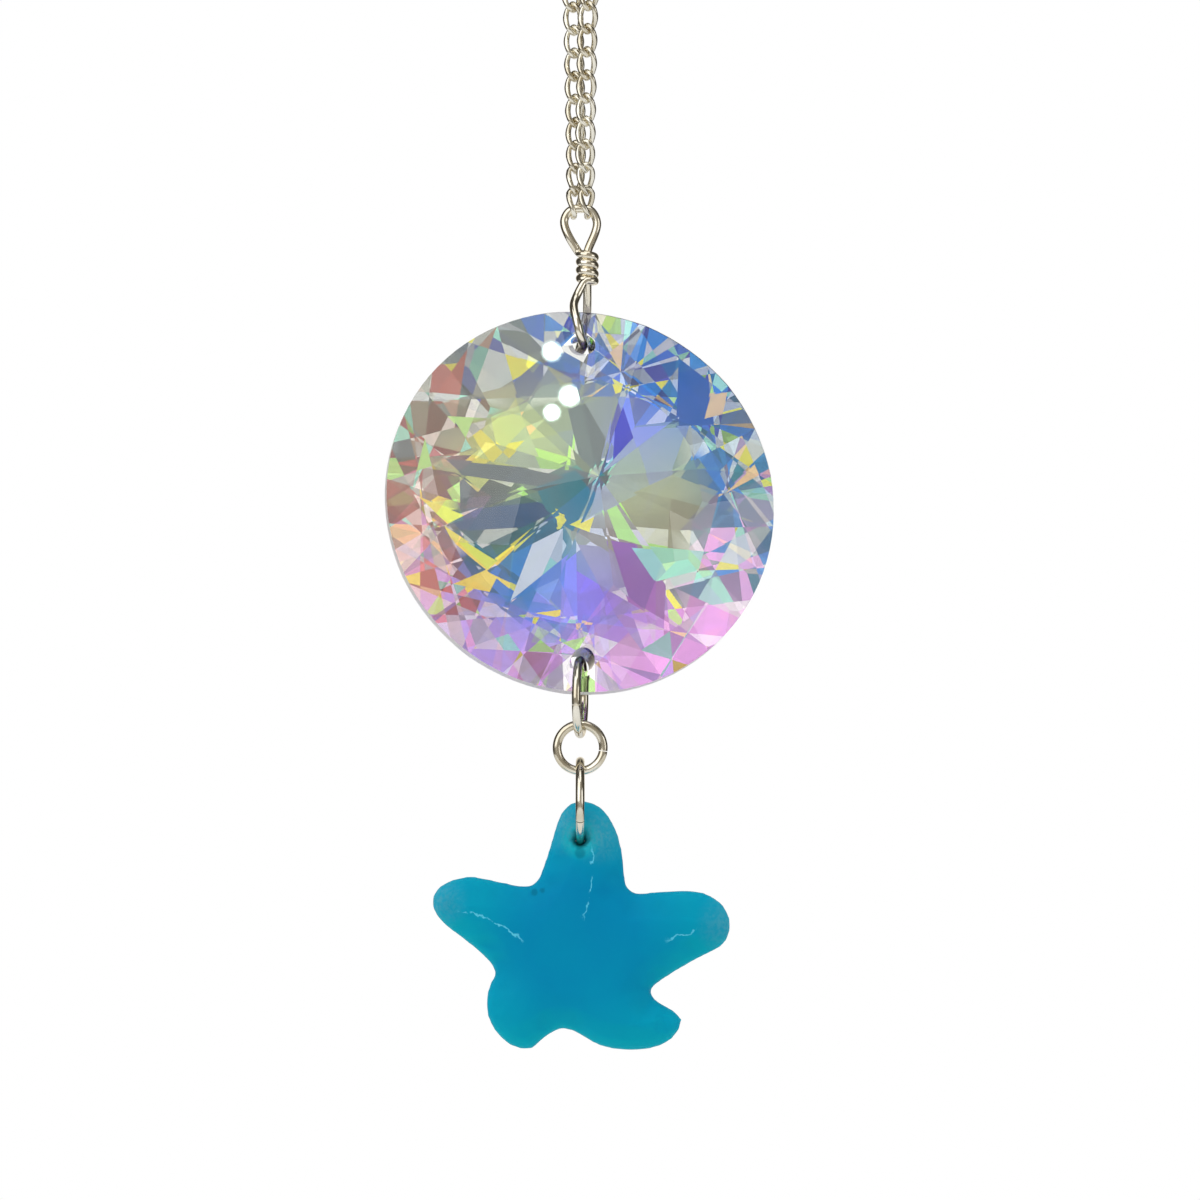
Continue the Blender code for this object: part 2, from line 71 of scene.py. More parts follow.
def opaque(colour: Triple) -> tuple[float, float, float, float]:
    """Return a colour with full alpha."""
    return (*colour, 1.0)


def centre_of(node: str) -> Vector:
    """Return the middle of a CAD node's box."""
    low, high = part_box(node)
    return (low + high) / 2


class Slot(Enum):
    """The record's material slots."""

    CHAIN = "chain_silver"
    WIRE = "wire_silver"
    RING = "ring_silver"
    CRYSTAL = "clear_crystal"
    SEA_GLASS = "sea_glass"


class Part(Enum):
    """What an edit-mode selection takes."""

    POINTS = "VERT"
    FACES = "FACE"


class Hue(Enum):
    """Interference colours of the crystal's coating, as sRGB of 0 to 255; yellow, lime, mint and
    peach colour its painted glints.
    """

    CLEAR = (236, 240, 238)
    SAGE = (184, 200, 178)
    OLIVE = (212, 220, 136)
    YELLOW = (250, 240, 112)
    LIME = (196, 246, 156)
    MINT = (170, 232, 218)
    TEAL = (52, 138, 158)
    NAVY = (60, 100, 146)
    AZURE = (24, 112, 188)
    ROYAL = (68, 146, 220)
    INDIGO = (88, 92, 190)
    PERIWINKLE = (144, 156, 236)
    VIOLET = (164, 136, 228)
    LILAC = (212, 186, 248)
    ORCHID = (240, 188, 246)
    PLUM = (160, 116, 180)
    ROSE = (240, 162, 176)
    BRICK = (176, 104, 96)
    TAN = (170, 166, 150)
    SLATE = (112, 124, 134)
    PEACH = (254, 220, 176)

    def linear(self) -> Vector:
        """Return the colour as linear light."""
        return Vector([(c / 12.92 if c <= 0.04045 else ((c + 0.055) / 1.055) ** 2.4)
                       for c in (v / 255 for v in self.value)])


# ---------------------------------------------------------------- the workbench


class Bench:
    """The moves that every piece shares: choosing, cutting, applying and finishing."""

    solid_slack: float = 1e-6
    flattest_pair: float = math.radians(40)
    squarest_pair: float = math.radians(80)

    @staticmethod
    def clear() -> None:
        """Leave edit mode and deselect everything."""
        if bpy.context.mode != "OBJECT":
            bpy.ops.object.mode_set(mode="OBJECT")
        bpy.ops.object.select_all(action="DESELECT")

    @staticmethod
    def take(piece: bpy.types.Object) -> None:
        """Make the piece the active one and the only one chosen.

        Args:
            piece: the piece.
        """
        Bench.clear()
        piece.select_set(True)
        bpy.context.view_layer.objects.active = piece

    @staticmethod
    def link(item: bpy.types.Object) -> None:
        """Put a new object in the scene."""
        bpy.context.scene.collection.objects.link(item)

    @staticmethod
    def clone(piece: bpy.types.Object) -> bpy.types.Object:
        """Copy a piece.

        Args:
            piece: the piece.

        Returns:
            The copy, with a mesh of its own.
        """
        copy = piece.copy()
        copy.data = piece.data.copy()
        Bench.link(copy)
        return copy

    @staticmethod
    def choose(part: Part, test: Callable[[Vector, Vector], bool]) -> None:
        """Select the active piece's points or faces in edit mode.

        Args:
            part: whether points or faces are chosen.
            test: takes a point or face centre and its normal, and says if it is chosen.
        """
        bpy.ops.mesh.select_all(action="DESELECT")
        bpy.ops.mesh.select_mode(type=part.value)
        mesh = bmesh.from_edit_mesh(bpy.context.object.data)
        mesh.normal_update()
        for item in (mesh.verts if part is Part.POINTS else mesh.faces):
            place = item.co if part is Part.POINTS else item.calc_center_median()
            if test(place, item.normal):
                item.select_set(True)
        mesh.select_flush(True)
        bmesh.update_edit_mesh(bpy.context.object.data)

    @staticmethod
    def choose_near(spot: Vector, reach: float) -> None:
        """Select the faces round a spot, on a piece that lies flat."""
        Bench.choose(Part.FACES, lambda place, _: (place.xy - spot.xy).length < reach)

    @staticmethod
    def cut(place: Vector, normal: Vector, slack: float = SLACK) -> None:
        """Split what is selected along a plane."""
        bpy.ops.mesh.bisect(plane_co=place, plane_no=normal, threshold=slack)

    @staticmethod
    def edit() -> None:
        """Go into edit mode with all of the active piece selected."""
        bpy.ops.object.mode_set(mode="EDIT")
        bpy.ops.mesh.select_all(action="SELECT")

    @staticmethod
    def apply(piece: bpy.types.Object, kind: str, **settings: object) -> None:
        """Add a modifier to a piece, set it and apply it.

        Args:
            piece: the piece that is changed.
            kind: the modifier's type.
            settings: its properties by name.
        """
        Bench.take(piece)
        modifier = piece.modifiers.new(kind.title(), kind)
        for name, value in settings.items():
            setattr(modifier, name, value)
        bpy.ops.object.modifier_apply(modifier=modifier.name)

    @staticmethod
    def smooth(piece: bpy.types.Object, levels: int) -> None:
        """Round a piece with subdivision surface, applied."""
        Bench.apply(piece, "SUBSURF", levels=levels, render_levels=levels)

    @staticmethod
    def tidy(piece: bpy.types.Object, merge: float = SLACK) -> None:
        """Merge doubles and turn every face outwards.

        Args:
            piece: the piece.
            merge: how near points are merged.
        """
        Bench.take(piece)
        Bench.edit()
        bpy.ops.mesh.remove_doubles(threshold=merge)
        bpy.ops.mesh.normals_make_consistent(inside=False)
        bpy.ops.object.mode_set(mode="OBJECT")

    @staticmethod
    def copy_node(node: str) -> bpy.types.Object:
        """Return a merged copy of a CAD node, whose own mesh is left alone.

        Args:
            node: the CAD node's name.

        Returns:
            A loose object with its own mesh of quads where the triangles pair up.
        """
        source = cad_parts[node]
        piece = bpy.data.objects.new(node + "_copy", source.data.copy())
        piece.data.materials.clear()
        Bench.link(piece)
        Bench.take(piece)
        Bench.edit()
        bpy.ops.mesh.remove_doubles(threshold=Bench.solid_slack)
        bpy.ops.mesh.tris_convert_to_quads(face_threshold=Bench.flattest_pair,
                                           shape_threshold=Bench.squarest_pair)
        bpy.ops.object.mode_set(mode="OBJECT")
        return piece

    @staticmethod
    def finish(piece: bpy.types.Object, name: str, material: bpy.types.Material,
               slot: Slot, *nodes: str) -> None:
        """Name, dress and mount a piece, with its place in its mesh.

        Args:
            piece: the finished object.
            name: its name.
            material: its finish.
            slot: the record's slot for the piece; not used.
            nodes: the CAD nodes that it stands for.
        """
        Bench.take(piece)
        bpy.ops.object.transform_apply(location=True, rotation=True, scale=True)
        piece.name = piece.data.name = name
        piece.data.materials.clear()
        piece.data.materials.append(material)
        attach(piece, BODY)
        if nodes:
            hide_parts(*nodes)
        log.info("%s: %d faces", name, len(piece.data.polygons))


@dataclass(frozen=True)
class NodeAxes:
    """A CAD node's centre and main directions, read from its surface."""

    centre: Vector
    longest: Vector
    middle: Vector
    shortest: Vector

    @classmethod
    def of(cls, node: str) -> "NodeAxes":
        """Measure a CAD node's second moments over its surface.

        Args:
            node: the CAD node's name.

        Returns:
            Its centre and its three main directions, a right-handed set.
        """
        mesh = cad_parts[node].data
        mesh.calc_loop_triangles()
        points = np.array([v.co for v in mesh.vertices], float)
        corners = points[np.array([t.vertices for t in mesh.loop_triangles])]
        area = np.linalg.norm(np.cross(corners[:, 1] - corners[:, 0],
                                       corners[:, 2] - corners[:, 0]), axis=1)
        middle = corners.mean(axis=1)
        centre = (middle * area[:, None]).sum(0) / area.sum()
        corners, middle = corners - centre, middle - centre
        spread = 9 * np.einsum("t,ti,tj->ij", area, middle, middle)
        for index in range(3):
            spread += np.einsum("t,ti,tj->ij", area, corners[:, index], corners[:, index])
        _, axes = np.linalg.eigh(spread)
        longest, across = Vector(axes[:, 2]), Vector(axes[:, 1])
        return cls(Vector(centre), longest, across, across.cross(longest))

    def placement(self) -> Matrix:
        """Return the matrix that lays X across, Y along and Z off the node's face."""
        turn = Matrix((self.middle, self.longest, self.shortest)).transposed().to_4x4()
        return Matrix.Translation(self.centre) @ turn


# ---------------------------------------------------------------- finishes


@dataclass(frozen=True)
class Grain:
    """A noise pattern: its scale per metre and octaves, and the range it is moved to."""

    scale: float
    detail: float
    span: Pair
    to: Pair = (0.0, 1.0)


class Nodes:
    """A node tree under construction, with short calls for its nodes."""

    def __init__(self, tree: bpy.types.NodeTree) -> None:
        """Take the tree that is built in."""
        self.tree = tree

    def add(self, kind: str, **inputs: object) -> bpy.types.Node:
        """Add a node.

        Args:
            kind: the node's type.
            inputs: values or other nodes' sockets by input, with _ for a space.

        Returns:
            The node.
        """
        node = self.tree.nodes.new(kind)
        for name, value in inputs.items():
            self.feed(node, name.replace("_", " "), value)
        return node

    def feed(self, node: bpy.types.Node, socket: str | int, value: object) -> None:
        """Set or link one input of a node.

        Args:
            node: the node.
            socket: the input's name or number.
            value: a plain value, or another node's socket.
        """
        if isinstance(value, bpy.types.NodeSocket):
            self.tree.links.new(value, node.inputs[socket])
        else:
            node.inputs[socket].default_value = value

    def remap(self, value: bpy.types.NodeSocket, span: Pair,
              to: Pair = (0.0, 1.0)) -> bpy.types.NodeSocket:
        """Return a value moved from one range to another, and kept within it."""
        return self.add("ShaderNodeMapRange", Value=value, From_Min=span[0], From_Max=span[1],
                        To_Min=to[0], To_Max=to[1]).outputs["Result"]

    def blend(self, share: object, first: object, second: object) -> bpy.types.NodeSocket:
        """Mix two colours.

        Args:
            share: the second colour's share, a value or a socket as the colours are.
            first: the first colour.
            second: the second colour.

        Returns:
            The mixed colour.
        """
        node = self.tree.nodes.new("ShaderNodeMix")
        node.data_type = "RGBA"
        for socket, value in ((0, share), (6, first), (7, second)):
            self.feed(node, socket, value)
        return node.outputs[2]

    def join(self, how: str, first: object, second: object) -> bpy.types.NodeSocket:
        """Join two values.

        Args:
            how: the Math node's operation.
            first: the first value or socket.
            second: the second value or socket.

        Returns:
            The result.
        """
        node = self.tree.nodes.new("ShaderNodeMath")
        node.operation = how
        self.feed(node, 0, first)
        self.feed(node, 1, second)
        return node.outputs[0]


class Shader(Nodes):
    """A Principled material under construction."""

    def __init__(self, name: str, **plain: object) -> None:
        """Start a material.

        Args:
            name: the material's name.
            plain: values for the shader's own sockets, with _ for a space.
        """
        self.material = bpy.data.materials.new(name)
        self.material.use_nodes = True
        super().__init__(self.material.node_tree)
        self.principled = self.tree.nodes["Principled BSDF"]
        for socket, value in plain.items():
            self.feed(self.principled, socket.replace("_", " "), value)

    def grain(self, scale: float, detail: float, stretch: Triple = WHITE) -> bpy.types.NodeSocket:
        """Make a noise over the piece's own place.

        Args:
            scale: how fine it is, per metre.
            detail: its octaves.
            stretch: its scale along each axis.

        Returns:
            The noise, from 0 to 1.
        """
        place = self.add("ShaderNodeTexCoord").outputs["Object"]
        place = self.add("ShaderNodeMapping", Vector=place, Scale=stretch).outputs["Vector"]
        node = self.add("ShaderNodeTexNoise", Vector=place, Scale=scale, Detail=detail)
        return node.outputs["Fac"]

    def pattern(self, grain: Grain) -> bpy.types.NodeSocket:
        """Return a noise pattern over the piece."""
        return self.remap(self.grain(grain.scale, grain.detail), grain.span, grain.to)

    def marked(self, name: str, output: str = "Fac") -> bpy.types.NodeSocket:
        """Read what was written on the piece's own points or corners.

        Args:
            name: the attribute's name.
            output: "Fac" for a value, "Color" for a colour.

        Returns:
            The value or colour.
        """
        node = self.add("ShaderNodeAttribute")
        node.attribute_name = name
        return node.outputs[output]

    def colour(self, value: bpy.types.NodeSocket) -> None:
        """Give the shader its base colour."""
        self.feed(self.principled, "Base Color", value)

    def roughness(self, value: bpy.types.NodeSocket) -> None:
        """Give the shader its roughness."""
        self.feed(self.principled, "Roughness", value)

    def bump(self, height: bpy.types.NodeSocket, distance: float, strength: float) -> None:
        """Raise the surface by a height, in metres for a height of 1."""
        node = self.add("ShaderNodeBump", Height=height, Distance=distance, Strength=strength)
        self.feed(self.principled, "Normal", node.outputs["Normal"])


@dataclass(frozen=True)
class SilverFinish:
    """Bright silver-coloured wire with a warm tint, drawing lines and faint tarnish."""

    name: str
    bright: Triple = (0.93, 0.90, 0.80)
    warm: Triple = (0.72, 0.66, 0.52)
    smoothest: float = 0.08
    roughest: float = 0.24
    mark_scale: float = 900.0
    cloud_scale: float = 0.4
    cloud_span: Pair = (0.38, 0.68)
    line_scale: float = 4.0
    line_stretch: Triple = (1.0, 1.0, 0.25)
    line_span: Pair = (0.3, 0.75)
    line_depth: float = 0.003 * MM
    line_strength: float = 0.5

    def material(self) -> bpy.types.Material:
        """Make the finish.

        Returns:
            The material.
        """
        shader = Shader(self.name, Metallic=1.0)
        cloud = shader.remap(shader.grain(self.mark_scale * self.cloud_scale, detail=2.0),
                             self.cloud_span)
        shader.colour(shader.blend(cloud, opaque(self.bright), opaque(self.warm)))
        lines = shader.grain(self.mark_scale * self.line_scale, 4.0, self.line_stretch)
        shader.roughness(shader.remap(lines, self.line_span, (self.smoothest, self.roughest)))
        shader.bump(lines, self.line_depth, self.line_strength)
        return shader.material


@dataclass(frozen=True)
class CrystalFinish:
    """Clear cut crystal: plain glass values, its facets faintly tinted."""

    name: str = "clear crystal"
    index: float = 1.56
    ground: float = 0.0
    clearness: float = 1.0
    veil: Grain = Grain(120.0, 2.0, (0.3, 0.7), (0.0, 0.06))

    def material(self) -> bpy.types.Material:
        """Make the finish.

        Returns:
            The material.
        """
        shader = Shader(self.name, Metallic=0.0, Roughness=self.ground, IOR=self.index,
                        Transmission_Weight=self.clearness)
        shader.colour(shader.blend(shader.pattern(self.veil), shader.marked("tint", "Color"),
                                   opaque(WHITE)))
        return shader.material


@dataclass(frozen=True)
class CoatingFinish:
    """The thin iridescent coating: part mirror, part colour filter."""

    name: str
    mirror: float
    veil: Grain = Grain(160.0, 3.0, (0.3, 0.7), (0.0, 0.02))

    def material(self) -> bpy.types.Material:
        """Make the finish.

        Returns:
            The material.
        """
        shader = Shader(self.name, Metallic=self.mirror, Roughness=0.0, IOR=1.0,
                        Transmission_Weight=1.0)
        shader.colour(shader.blend(shader.pattern(self.veil), shader.marked("tint", "Color"),
                                   opaque(WHITE)))
        return shader.material


@dataclass(frozen=True)
class SeaGlassFinish:
    """Frosted teal glass: deep inside, pale and dusty at the tips, with a pitted skin."""

    name: str = "frosted sea glass"
    deep: Triple = (0.001, 0.262, 0.485)
    bright: Triple = (0.001, 0.310, 0.500)
    dusty: Triple = (0.070, 0.370, 0.490)
    lit: Triple = (0.002, 0.420, 0.520)
    shade: Triple = (0.001, 0.120, 0.210)
    flaw: Triple = (0.120, 0.620, 0.800)
    index: float = 1.45
    gloss: float = 0.04
    glow: float = 0.55
    glow_reach: Triple = (0.4, 1.0, 1.2)
    glow_scale: float = 1.6 * MM
    cloud: Grain = Grain(90.0, 2.0, (0.35, 0.7), (0.0, 0.7))
    speckle: Grain = Grain(2600.0, 4.0, (0.40, 0.62), (0.35, 1.0))
    edge_span: Pair = (0.72, 0.96)
    edge_shade: float = 0.7
    flaw_wander: Grain = Grain(1000.0, 4.0, (0.3, 0.7), (-0.30, 0.30))
    flaw_gaps: Grain = Grain(700.0, 3.0, (0.42, 0.50))
    flaw_half_width: float = 0.10
    flaw_span: Pair = (0.0, 0.8)
    frosted: float = 0.52
    polished: float = 0.16
    pit_scale: float = 3200.0
    pit_depth: float = 0.03 * MM
    pit_strength: float = 0.5

    def material(self) -> bpy.types.Material:
        """Make the finish.

        Returns:
            The material.
        """
        shader = Shader(self.name, Metallic=0.0, IOR=self.index, Subsurface_Weight=self.glow,
                        Subsurface_Radius=self.glow_reach, Subsurface_Scale=self.glow_scale,
                        Specular_IOR_Level=self.gloss)
        body = shader.blend(shader.pattern(self.cloud), opaque(self.deep), opaque(self.bright))
        body = shader.blend(shader.marked("lit"), body, opaque(self.lit))
        dust = shader.join("MULTIPLY", shader.pattern(self.speckle), shader.marked("dust"))
        body = shader.blend(dust, body, opaque(self.dusty))
        edge = shader.add("ShaderNodeLayerWeight", Blend=0.5).outputs["Facing"]
        edge = shader.remap(edge, self.edge_span, (0.0, self.edge_shade))
        edge = shader.join("MULTIPLY", edge, shader.marked("off_hole"))
        dark = shader.join("MAXIMUM", edge, shader.marked("shade"))
        body = shader.blend(dark, body, opaque(self.shade))
        off = shader.join("ADD", shader.marked("flaw"), shader.pattern(self.flaw_wander))
        line = shader.remap(shader.join("ABSOLUTE", off, 0.0),
                            (self.flaw_half_width * 0.5, self.flaw_half_width), (1.0, 0.0))
        line = shader.join("MULTIPLY", line, shader.pattern(self.flaw_gaps))
        line = shader.join("MULTIPLY", line, shader.marked("near_flaw"))
        shader.colour(shader.blend(line, body, opaque(self.flaw)))
        shader.roughness(shader.remap(line, self.flaw_span, (self.frosted, self.polished)))
        shader.bump(shader.grain(self.pit_scale, 5.0), self.pit_depth, self.pit_strength)
        return shader.material


# ---------------------------------------------------------------- curb chain


@dataclass
class CurbChain:
    """The doubled curb chain: one link modelled, and a copy laid in each node's place."""

    wire: float = 0.60 * MM
    length: float = 3.60 * MM
    width: float = 2.14 * MM
    twist: float = math.radians(-47.0)
    rounding: float = 0.28
    end_segments: int = 28
    wire_segments: int = 14
    straight_cuts: int = 5
    finish: SilverFinish = SilverFinish("chain silver")

    def model_link(self) -> bpy.types.Object:
        """Model one link: a ring drawn long, then twisted along its length.

        Returns:
            The link at the origin, along Y.
        """
        end_radius = (self.width - self.wire) / 2
        drawn = (self.length - self.width) / 2
        Bench.clear()
        bpy.ops.mesh.primitive_torus_add(
            major_radius=end_radius, minor_radius=self.wire / 2,
            major_segments=self.end_segments, minor_segments=self.wire_segments)
        link = bpy.context.object
        Bench.edit()
        for side in (1, -1):
            Bench.choose(Part.POINTS, lambda place, _: side * place.y > SLACK)
            bpy.ops.transform.translate(value=(0.0, side * drawn, 0.0))
        for step in range(-self.straight_cuts, self.straight_cuts + 1):
            if step:
                bpy.ops.mesh.select_all(action="SELECT")
                Bench.cut(Vector((0.0, drawn * step / (self.straight_cuts + 0.5), 0.0)),
                          Vector((0.0, 1.0, 0.0)))
        bpy.ops.object.mode_set(mode="OBJECT")
        for point in link.data.vertices:
            reach = min(abs(point.co.y) / (drawn + end_radius), 1.0)
            point.co.x *= 1.0 - self.rounding * reach ** 2
        turn = self.twist * self.length / ((self.length - self.wire) / 2)
        Bench.apply(link, "SIMPLE_DEFORM", deform_method="TWIST", deform_axis="Y", angle=turn)
        Bench.tidy(link)
        bpy.ops.object.shade_smooth()
        return link

    def build(self) -> None:
        """Lay a copy of the link in the place of every link of the chain."""
        material = self.finish.material()
        link = self.model_link()
        for node in sorted(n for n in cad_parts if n.startswith("link_")):
            piece = Bench.clone(link)
            piece.data.transform(NodeAxes.of(node).placement())
            Bench.finish(piece, node.replace("link", "curb_link"), material, Slot.CHAIN, node)
        bpy.data.objects.remove(link)


# ---------------------------------------------------------------- wire eye and rings


@dataclass
class WireEye:
    """The wrapped wire eye, rounded from the solid's own wire."""

    swell: float = 0.12 * MM
    levels: int = 2
    finish: SilverFinish = SilverFinish(
        "eye silver", bright=(1.0, 0.96, 0.84), warm=(0.84, 0.77, 0.62), mark_scale=1100.0)

    def build(self) -> None:
        """Round the wire's flat sides without thinning it, and dress it."""
        wire = Bench.copy_node("wire_eye")
        Bench.edit()
        bpy.ops.transform.shrink_fatten(value=self.swell)
        bpy.ops.object.mode_set(mode="OBJECT")
        Bench.smooth(wire, self.levels)
        Bench.tidy(wire)
        bpy.ops.object.shade_smooth()
        Bench.finish(wire, "wrapped_wire_eye", self.finish.material(), Slot.WIRE, "wire_eye")


@dataclass
class JumpRing:
    """One jump ring: a round of wire, cut through once."""

    node: str
    yaw: float
    cut_turn: float
    wire: float = 0.89 * MM
    gap: float = 0.08 * MM
    gap_slack: float = 1e-8
    inside_gap: float = 0.499
    segments: int = 96
    wire_segments: int = 24
    edge_angle: float = math.radians(40)

    def build(self, material: bpy.types.Material) -> None:
        """Model the ring in its place and cut it.

        Args:
            material: the rings' finish.
        """
        low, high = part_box(self.node)
        centre = (low + high) / 2
        radius = (high.z - low.z) / 2 - self.wire / 2
        Bench.clear()
        bpy.ops.mesh.primitive_torus_add(
            location=centre, rotation=(0.0, math.pi / 2, self.yaw), major_radius=radius,
            minor_radius=self.wire / 2, major_segments=self.segments,
            minor_segments=self.wire_segments)
        ring = bpy.context.object
        bpy.ops.object.transform_apply(location=True, rotation=True, scale=True)
        turn = Matrix.Rotation(self.yaw, 3, "Z")
        across, up = math.sin(self.cut_turn), math.cos(self.cut_turn)
        along, out = turn @ Vector((0.0, -up, -across)), turn @ Vector((0.0, -across, up))
        Bench.edit()
        for side in (1, -1):
            bpy.ops.mesh.select_all(action="SELECT")
            Bench.cut(centre + along * (side * self.gap / 2), along, self.gap_slack)
        Bench.choose(Part.FACES, lambda place, _: abs((place - centre).dot(along))
                     < self.gap * self.inside_gap and (place - centre).dot(out) > 0.0)
        bpy.ops.mesh.delete(type="FACE")
        bpy.ops.mesh.select_all(action="SELECT")
        bpy.ops.mesh.fill_holes(sides=0)
        bpy.ops.object.mode_set(mode="OBJECT")
        Bench.tidy(ring)
        bpy.ops.object.shade_smooth_by_angle(angle=self.edge_angle)
        Bench.finish(ring, "jump_" + self.node, material, Slot.RING, self.node)


# ---------------------------------------------------------------- crystal


@dataclass(frozen=True)
class Gleam:
    """One placed shard, a painted glint when yellow, lime, mint or peach: its colour, and its
    corners as seen from the front, in mm.
    """

    hue: Hue
    corners: tuple[Pair, ...]


